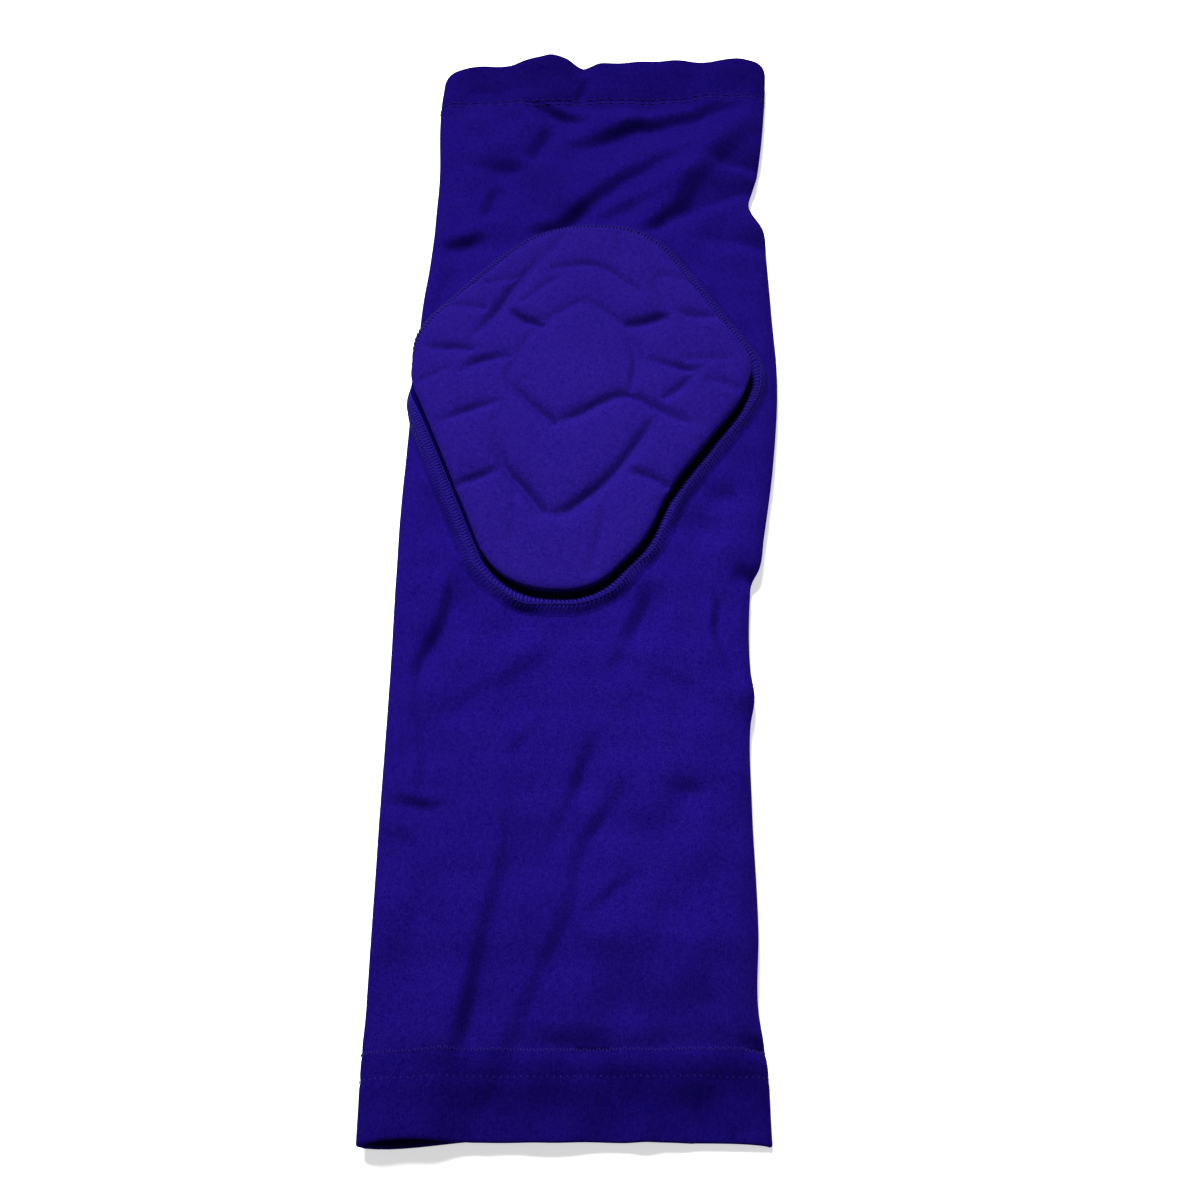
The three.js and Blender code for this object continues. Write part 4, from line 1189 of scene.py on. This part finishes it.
# Wale and course: width and height of a loop, in millimetres
knit = knit_material("knit", dark=(0.0009, 0.0002, 0.049), light=(0.0103, 0.004, 0.11),
                     wale=0.62, course=0.46, relief=0.35, roughness=0.86)
# Hems: the sleeve's own knit made darker, as painted shade on the hems
hem_knit_painted_shade = knit_material("hem_knit_painted_shade", dark=(0.0007, 0.0001, 0.042), light=(0.0078, 0.0032, 0.094),
                         wale=0.62, course=0.46, relief=0.35, roughness=0.86)
pad_knit = knit_material("pad_knit", dark=(0.0026, 0.0008, 0.06), light=(0.0142, 0.0062, 0.123),
                         wale=0.5, course=0.4, relief=0.28, roughness=0.82)
# the seam band gets painted shade in the crevice beside the pad
seam_knit = knit_material("seam_knit", dark=(0.001, 0.0003, 0.044), light=(0.0085, 0.0035, 0.1),
                          wale=0.5, course=0.4, relief=0.3, roughness=0.84, crevice=(0.8, 2.2))
thread = thread_material("thread", dark=(0.003, 0.001, 0.064), light=(0.0135, 0.006, 0.135))
hem_thread = thread_material("hem_thread", dark=(0.0045, 0.0017, 0.07), light=(0.0125, 0.0054, 0.128))

body = sleeve_body(knit)
bicep_hem = hem("bicep_hem", BICEP_STITCH, BICEP_MOUTH, hem_knit_painted_shade)
wrist_cuff = hem("wrist_cuff", WRIST_STITCH, WRIST_MOUTH, hem_knit_painted_shade)
pad = elbow_pad(pad_knit)
band = seam_band(seam_knit)
cover_threads, needle_threads = seam_threads(thread)
# Leans of the hem stitches, and how far the upper arm's two rows lie from the line between them
UPRIGHT = math.radians(62)
LEVEL = math.radians(4)
BICEP_ROW_OFFSET = 0.72
wrist_stitches = hem_stitches("wrist_stitches", (
    StitchRow(WRIST_STITCH, length=1.1, lean=UPRIGHT, strokes=2),
    StitchRow(WRIST_SECOND_ROW, length=0.9, lean=UPRIGHT, strokes=1),
), hem_thread)
bicep_stitches = hem_stitches("bicep_stitches", (
    StitchRow(BICEP_STITCH - BICEP_ROW_OFFSET, length=1.4, lean=LEVEL, strokes=1),
    StitchRow(BICEP_STITCH + BICEP_ROW_OFFSET, length=1.4, lean=LEVEL, strokes=1),
), hem_thread)

SLOTS = (
    (body, "knit"),
    (bicep_hem, "hem"),
    (wrist_cuff, "hem"),
    (pad, "pad"),
    (band, "thread"),
    (cover_threads, "thread"),
    (needle_threads, "thread"),
    (wrist_stitches, "thread"),
    (bicep_stitches, "thread"),
)
for piece, slot in SLOTS:
    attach(piece, "root")
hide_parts("sleeve_tube")
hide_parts("bicep_band")
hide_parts("wrist_hem")
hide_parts("elbow_pad")
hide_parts("pad_seam")


def make_floor():
    """A broad pale floor."""
    side = np.linspace(-FLOOR_REACH, FLOOR_REACH, FLOOR_STEPS)
    x, y = np.meshgrid(side, side, indexing="ij")
    points = np.stack([x, y, np.full(x.shape, -FLOOR_BELOW)], -1).reshape(-1, 3)
    faces = grid_faces(FLOOR_STEPS, FLOOR_STEPS, closed=False)
    floor = make_piece("floor", points, faces, [points[faces][..., :2]], floor_material())


# The photograph's camera: 27 degrees from straight down and turned a little, with its lens in pixels
TARGET = Vector((5.30, -24.08, 0.0))
DISTANCE = 480.35
TILT = math.radians(27.0)
YAW = math.radians(1.603)
HALF_FRAME = 600
FOCAL_LENGTH = 1635
NEAR_CLIP = 0.01


def make_camera():
    turn = Matrix.Rotation(YAW, 3, "Z")
    back = turn @ Vector((0, -math.sin(TILT), math.cos(TILT)))
    right = turn @ Vector((1, 0, 0))
    up = back.cross(right)
    data = bpy.data.cameras.new("camera")
    data.sensor_fit = "HORIZONTAL"
    data.angle = 2 * math.atan(HALF_FRAME / FOCAL_LENGTH)
    data.clip_start = NEAR_CLIP
    camera = bpy.data.objects.new("camera", data)
    place = (TARGET + back * DISTANCE) * MM
    camera.matrix_world = Matrix.Translation(place) @ Matrix((right, up, back)).transposed().to_4x4()
    bpy.context.collection.objects.link(camera)
    bpy.context.scene.camera = camera


# Lights, in metres and watts: a broad key, and a narrow pool of light on the pad
KEY_SIZE = 1.2
KEY_POWER = 294
KEY_PLACE = (-0.78, 1.85, 3.22)
KEY_AIM = (0, 0, 0)
POOL_SIZE = 0.12
POOL_ANGLE = math.radians(12.5)
POOL_POWER = 112
POOL_PLACE = (-0.24, 0.61, 1.1)
POOL_AIM = (0.012, -0.022, 0)
WORLD_STRENGTH = 0.14


def place_light(data, place, aim):
    light = bpy.data.objects.new(data.name, data)
    light.location = place
    light.rotation_euler = (Vector(aim) - Vector(place)).to_track_quat("-Z", "Y").to_euler()
    light.visible_camera = False
    bpy.context.collection.objects.link(light)


def make_lights():
    """A broad soft key from the upper left, and a soft pool of light on the pad from the same side."""
    key = bpy.data.lights.new("key", "AREA")
    key.shape = "DISK"
    key.size = KEY_SIZE
    key.energy = KEY_POWER
    place_light(key, KEY_PLACE, KEY_AIM)
    pool = bpy.data.lights.new("pool", "SPOT")
    pool.shadow_soft_size = POOL_SIZE
    pool.spot_size = POOL_ANGLE
    pool.spot_blend = 1.0
    pool.energy = POOL_POWER
    place_light(pool, POOL_PLACE, POOL_AIM)


def make_world():
    world = bpy.data.worlds.new("studio")
    world.use_nodes = True
    background = world.node_tree.nodes["Background"]
    background.inputs["Color"].default_value = (1.0, 1.0, 1.0, 1.0)
    background.inputs["Strength"].default_value = WORLD_STRENGTH
    bpy.context.scene.world = world


make_floor()
make_camera()
make_lights()
make_world()
bpy.context.scene.view_settings.view_transform = "Standard"
